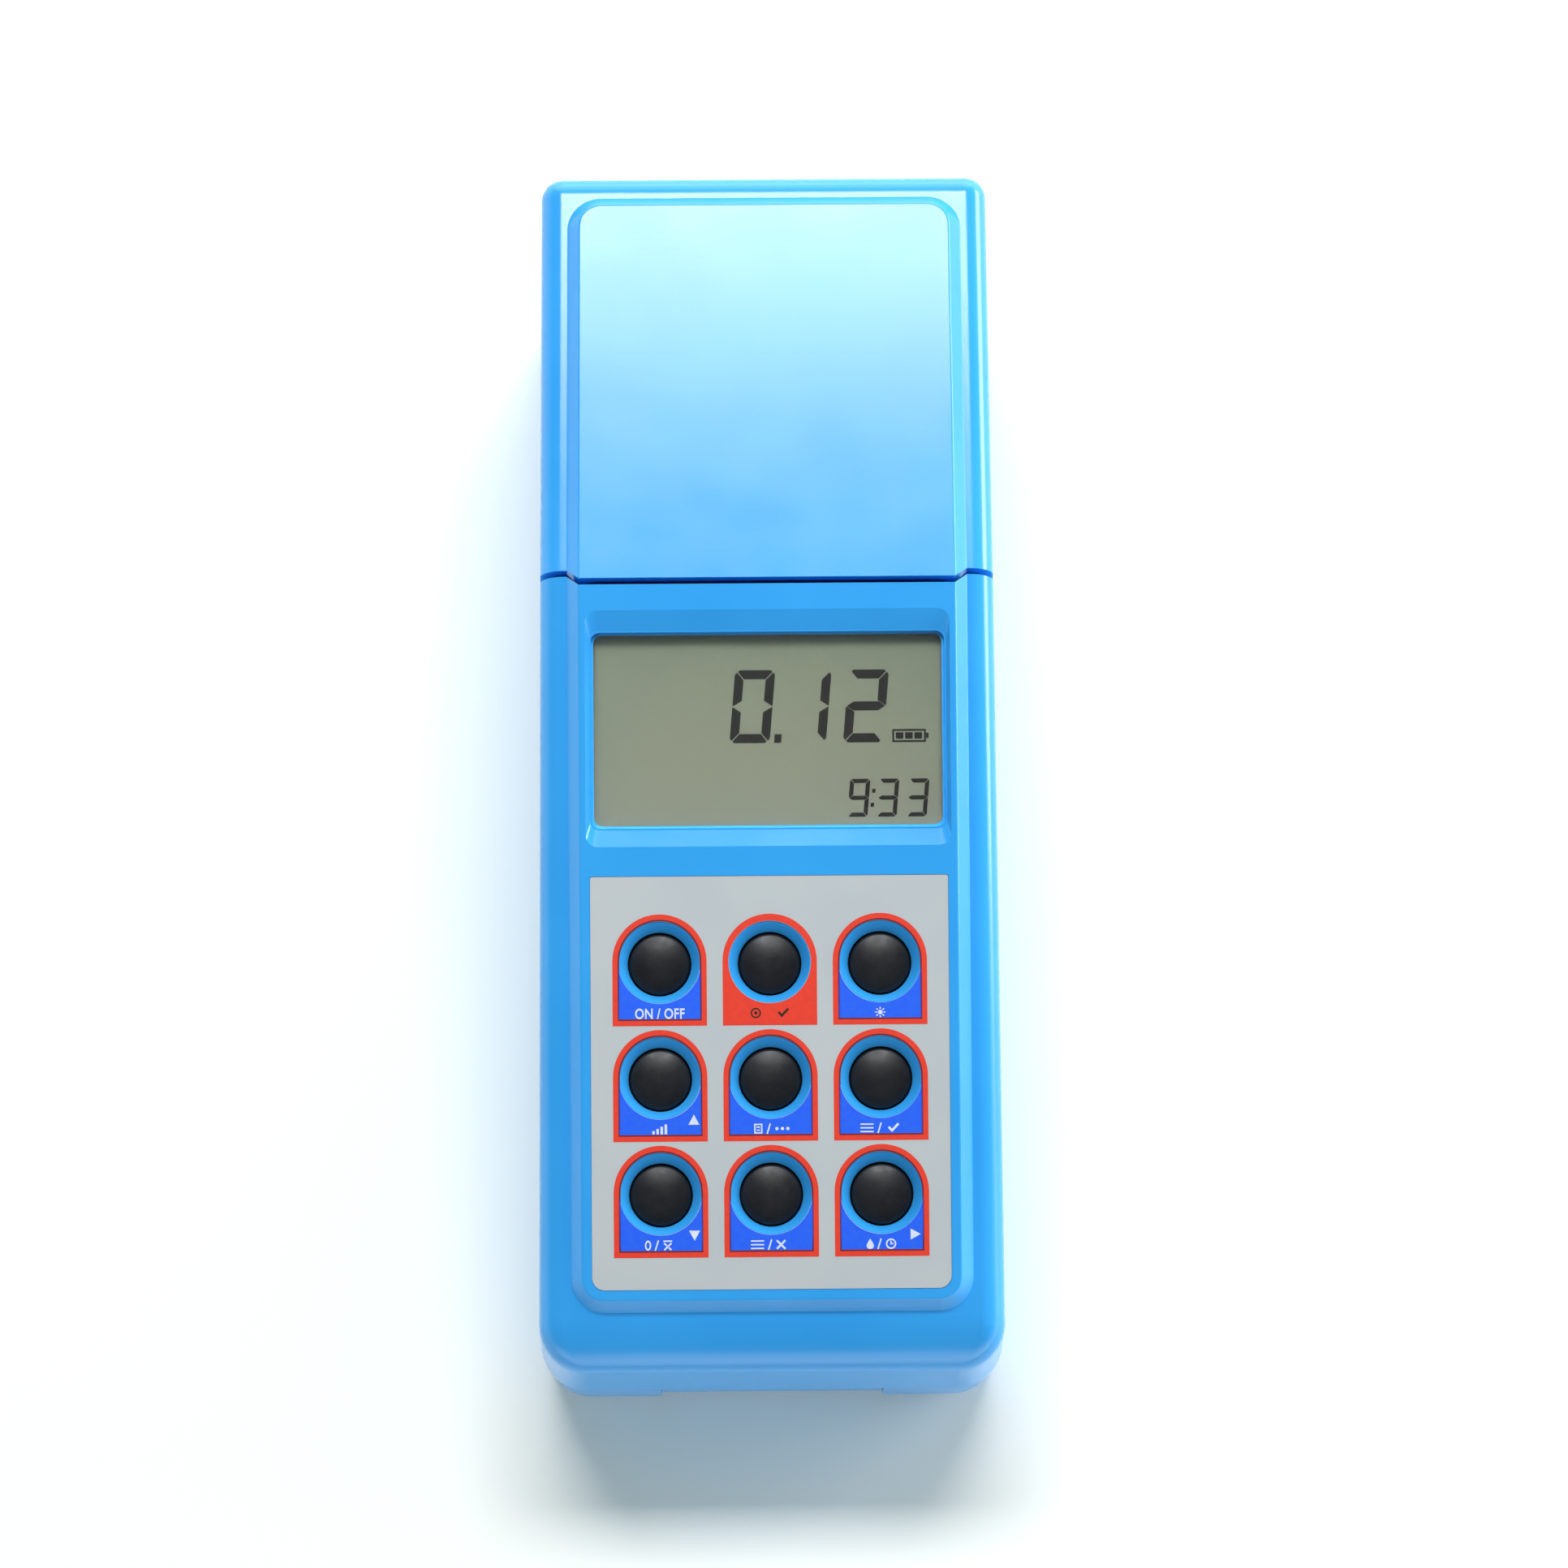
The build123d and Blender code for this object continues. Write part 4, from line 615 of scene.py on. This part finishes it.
class METER_OT_boards(bpy.types.Operator):
    """Finishes the circuit boards and their chips"""

    bl_idname = "meter.boards"
    bl_label = "Circuit boards"

    def execute(self, context):
        # Glass-epoxy board under solder mask: deep green with lighter copper tracks and tinned pads
        board, tree, output = new_material("Solder_masked_board")
        place = add(tree, "ShaderNodeTexCoord").outputs["Object"]
        tracks = add(tree, "ShaderNodeTexBrick",
                     {"Vector": place, "Scale": 1.0, "Brick Width": 6.0 * MM, "Row Height": 1.9 * MM,
                      "Mortar Size": 0.22 * MM, "Color1": rgba(linear("#0E5A36")),
                      "Color2": rgba(linear("#10633B")), "Mortar": rgba(linear("#2E8A55"))})
        pads = add(tree, "ShaderNodeTexVoronoi", {"Vector": place, "Scale": 1 / (5.08 * MM),
                                                  "Randomness": 0.35})
        pad = add(tree, RANGE, {0: pads.outputs["Distance"], 1: 0.12, 2: 0.14, 3: 1.0, 4: 0.0}).outputs[0]
        colour = add(tree, MIX, {0: pad, 6: tracks.outputs["Color"], 7: rgba(linear("#C9C7BE"))},
                     data_type="RGBA").outputs[2]
        gloss = add(tree, RANGE, {0: pad, 3: 0.34, 4: 0.28}).outputs[0]
        bump = add(tree, "ShaderNodeBump", {"Height": tracks.outputs["Fac"], "Distance": 0.03 * MM})
        surface = add(tree, "ShaderNodeBsdfPrincipled",
                      {"Base Color": colour, "Roughness": gloss, "Normal": bump.outputs["Normal"],
                       "IOR": 1.55})
        tree.links.new(surface.outputs["BSDF"], output.inputs["Surface"])
        dress(board, "main_board", "optics_boards", "socket_board")
        # Epoxy, transfer moulded: charcoal, fine matt skin
        chips = finish("Moulded_epoxy_chip", linear("#232426"), linear("#2A2B2D"), cloud_mm=5.0,
                       grain_mm=0.4, relief_mm=0.01, rough=0.55, IOR=1.55)
        dress(chips, "board_chips")
        return {"FINISHED"}


class METER_OT_metalwork(bpy.types.Operator):
    """Finishes the screws, the hinge pin, the contacts and the sockets"""

    bl_idname = "meter.metalwork"
    bl_label = "Screws, pin, contacts and sockets"

    def execute(self, context):
        # Nickel-plated steel, cold headed: grey-white, small scratches
        steel = finish("Nickel_plated_steel", linear("#B4B2AC"), linear("#C2C0BA"), cloud_mm=2.5,
                       grain_mm=0.5, relief_mm=0.006, rough=0.28, spread=0.08, Metallic=1.0)
        dress(steel, "board_screws", "case_screws", "optics_screws", "socket_screws", "hinge_pin",
              "lamp_cover_screws", "deck_screws")
        # Spring steel, drawn and nickel plated: brighter, streaked along the wire
        spring = finish("Drawn_spring_steel", linear("#C8C6C0"), linear("#B6B4AE"), cloud_mm=1.5,
                        grain_mm=0.4, relief_mm=0.004, rough=0.22, spread=0.06, Metallic=1.0)
        dress(spring, "battery_springs", "battery_plates")
        # Polyamide, moulded, on a tinned shell: satin black
        shell = finish("Moulded_black_polyamide", linear("#1C1C1E"), linear("#242426"), cloud_mm=6.0,
                       grain_mm=0.4, relief_mm=0.01, rough=0.42, IOR=1.53)
        dress(shell, "power_jack")
        tin = finish("Tinned_steel_shell", linear("#BDBBB5"), linear("#CAC8C2"), cloud_mm=3.0,
                     grain_mm=0.6, relief_mm=0.005, rough=0.3, spread=0.06, Metallic=1.0)
        dress(tin, "usb_socket")
        return {"FINISHED"}


class METER_OT_cells(bpy.types.Operator):
    """Finishes the battery cells"""

    bl_idname = "meter.cells"
    bl_label = "Battery cells"

    def execute(self, context):
        # Steel cans in a printed shrink sleeve: a dark sleeve with a copper band, bare bright ends
        sleeve, tree, output = new_material("Printed_shrink_sleeve")
        place = add(tree, "ShaderNodeTexCoord")
        along = add(tree, "ShaderNodeSeparateXYZ", {0: place.outputs["Object"]}).outputs["Y"]
        # Two cells share each row, so the band comes back after each cell
        share = add(tree, "ShaderNodeMath", {0: along, 1: CELL_LENGTH * MM}, operation="DIVIDE").outputs[0]
        turn = add(tree, "ShaderNodeMath", {0: share}, operation="FRACT").outputs[0]
        band = add(tree, RANGE, {0: turn, 1: 0.60, 2: 0.61}).outputs[0]
        printed = add(tree, MIX, {0: band, 6: rgba(linear("#20242E")), 7: rgba(linear("#B87A4A"))},
                      data_type="RGBA").outputs[2]
        facing = add(tree, "ShaderNodeSeparateXYZ", {0: place.outputs["Normal"]}).outputs["Y"]
        flat = add(tree, "ShaderNodeMath", {0: facing}, operation="ABSOLUTE").outputs[0]
        end = add(tree, RANGE, {0: flat, 1: 0.85, 2: 0.95}).outputs[0]
        colour = add(tree, MIX, {0: end, 6: printed, 7: rgba(linear("#BEBCB6"))},
                     data_type="RGBA").outputs[2]
        fine = add(tree, NOISE, {"Vector": place.outputs["Object"], "Scale": 1 / (0.5 * MM)}).outputs["Fac"]
        gloss = add(tree, RANGE, {0: fine, 1: 0.3, 2: 0.7, 3: 0.22, 4: 0.3}).outputs[0]
        bump = add(tree, "ShaderNodeBump", {"Height": fine, "Distance": 0.004 * MM})
        surface = add(tree, "ShaderNodeBsdfPrincipled",
                      {"Base Color": colour, "Roughness": gloss, "Metallic": end,
                       "Normal": bump.outputs["Normal"]})
        tree.links.new(surface.outputs["BSDF"], output.inputs["Surface"])
        dress(sleeve, "battery_cells")
        return {"FINISHED"}


class METER_OT_stage(bpy.types.Operator):
    """Sets up the floor, the softboxes, the room and the camera"""

    bl_idname = "meter.stage"
    bl_label = "Stage"

    def execute(self, context):
        scene = context.scene
        stage = scene.meter_stage
        back = CAMERA_RIGHT.cross(CAMERA_UP).normalized()
        camera = bpy.data.cameras.new("Camera")
        camera.sensor_width = 36.0
        camera.lens = CAMERA_LENS
        camera.clip_end = 20.0
        holder = bpy.data.objects.new("Camera", camera)
        turn = Matrix((CAMERA_RIGHT, CAMERA_UP, back)).transposed().to_4x4()
        holder.matrix_world = Matrix.Translation(CAMERA_PLACE) @ turn
        scene.collection.objects.link(holder)
        scene.camera = holder
        for name, place, size, power in SOFTBOXES:
            lamp = bpy.data.lights.new(name, "AREA")
            lamp.shape = "RECTANGLE"
            lamp.size, lamp.size_y = size
            lamp.energy = getattr(stage, power)
            box = bpy.data.objects.new(name, lamp)
            turn = (Vector(place) - AIM).to_track_quat("Z", "Y").to_matrix().to_4x4()
            box.matrix_world = Matrix.Translation(Vector(place)) @ turn
            scene.collection.objects.link(box)
        # The room: bright white walls low down, and a dim ceiling
        world = bpy.data.worlds.new("Room")
        scene.world = world
        world.use_nodes = True
        tree = world.node_tree
        tree.nodes.clear()
        way = add(tree, "ShaderNodeTexCoord").outputs["Generated"]
        rise = add(tree, "ShaderNodeSeparateXYZ", {0: way}).outputs["Z"]
        across = add(tree, "ShaderNodeSeparateXYZ", {0: way}).outputs["X"]
        low = add(tree, RANGE, {0: across, 1: -0.6, 2: 0.3, 3: stage.left_wall, 4: stage.walls}).outputs[0]
        fade = add(tree, RANGE, {0: rise, 1: 0.05, 2: 0.45}).outputs[0]
        strength = add(tree, MIX, {0: fade, 2: low, 3: stage.ceiling}).outputs[0]
        room = add(tree, "ShaderNodeBackground", {"Color": [0.98, 0.99, 1.0, 1.0], "Strength": strength})
        add(tree, "ShaderNodeOutputWorld", {"Surface": room.outputs[0]})
        # The floor: matt painted board, lifted a little where the camera or a mirror looks at it, and a
        # trifle green, which takes the case's blue out of its shadow
        floor, tree, output = new_material("Painted_floor")
        place = add(tree, "ShaderNodeTexCoord").outputs["Object"]
        clouds = add(tree, NOISE, {"Vector": place, "Scale": 1 / (200.0 * MM)}).outputs["Fac"]
        colour = add(tree, MIX, {0: clouds, 6: rgba(stage.floor), 7: rgba(linear("#FCFDFB"))},
                     data_type="RGBA").outputs[2]
        matt = add(tree, "ShaderNodeBsdfDiffuse", {"Color": colour})
        lift = add(tree, "ShaderNodeEmission", {"Color": rgba(linear("#B0CDB4")), "Strength": 0.22})
        path = add(tree, "ShaderNodeLightPath")
        seen = path.outputs["Is Camera Ray"]
        for ray in ("Is Glossy Ray", "Is Transmission Ray"):
            both = add(tree, "ShaderNodeMath", {0: seen, 1: path.outputs[ray]}, operation="MAXIMUM")
            seen = both.outputs[0]
        none = add(tree, "ShaderNodeEmission", {"Strength": 0.0})
        glow = add(tree, "ShaderNodeMixShader", {0: seen, 1: none.outputs[0], 2: lift.outputs[0]})
        total = add(tree, "ShaderNodeAddShader", {0: matt.outputs[0], 1: glow.outputs[0]})
        tree.links.new(total.outputs[0], output.inputs["Surface"])
        sheet = bpy.data.meshes.new("Floor")
        shape = bmesh.new()
        bmesh.ops.create_grid(shape, x_segments=4, y_segments=4, size=FLOOR_HALF)
        shape.to_mesh(sheet)
        shape.free()
        sheet.materials.append(floor)
        ground = bpy.data.objects.new("Floor", sheet)
        scene.collection.objects.link(ground)
        scene.view_settings.view_transform = "Standard"
        return {"FINISHED"}


class METER_PT_pieces(bpy.types.Panel):
    """Lists the steps that dress the meter"""

    bl_label = "Turbidity meter"
    bl_space_type = "VIEW_3D"
    bl_region_type = "UI"
    bl_category = "Meter"

    def draw(self, context):
        for operator in OPERATORS:
            self.layout.operator(operator.bl_idname)
        for group in (context.scene.meter_print, context.scene.meter_colours, context.scene.meter_stage):
            for name in group.__annotations__:
                self.layout.prop(group, name)


GROUPS = {"meter_print": MeterPrint, "meter_colours": MeterColours, "meter_stage": MeterStage}
OPERATORS = (METER_OT_stage, METER_OT_case, METER_OT_keys, METER_OT_label, METER_OT_display,
             METER_OT_optics, METER_OT_boards, METER_OT_metalwork, METER_OT_cells)


def register():
    """Registers the groups, the operators and the panel."""
    for name, group in GROUPS.items():
        bpy.utils.register_class(group)
        setattr(bpy.types.Scene, name, PointerProperty(type=group))
    for kind in (*OPERATORS, METER_PT_pieces):
        bpy.utils.register_class(kind)


def unregister():
    """Takes them out again."""
    for kind in (*OPERATORS, METER_PT_pieces):
        bpy.utils.unregister_class(kind)
    for name, group in GROUPS.items():
        delattr(bpy.types.Scene, name)
        bpy.utils.unregister_class(group)


def main():
    """Dresses the meter, piece by piece."""
    register()
    for operator in OPERATORS:
        family, step = operator.bl_idname.split(".")
        getattr(getattr(bpy.ops, family), step)()
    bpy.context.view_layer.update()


if __name__ == "__main__":
    main()
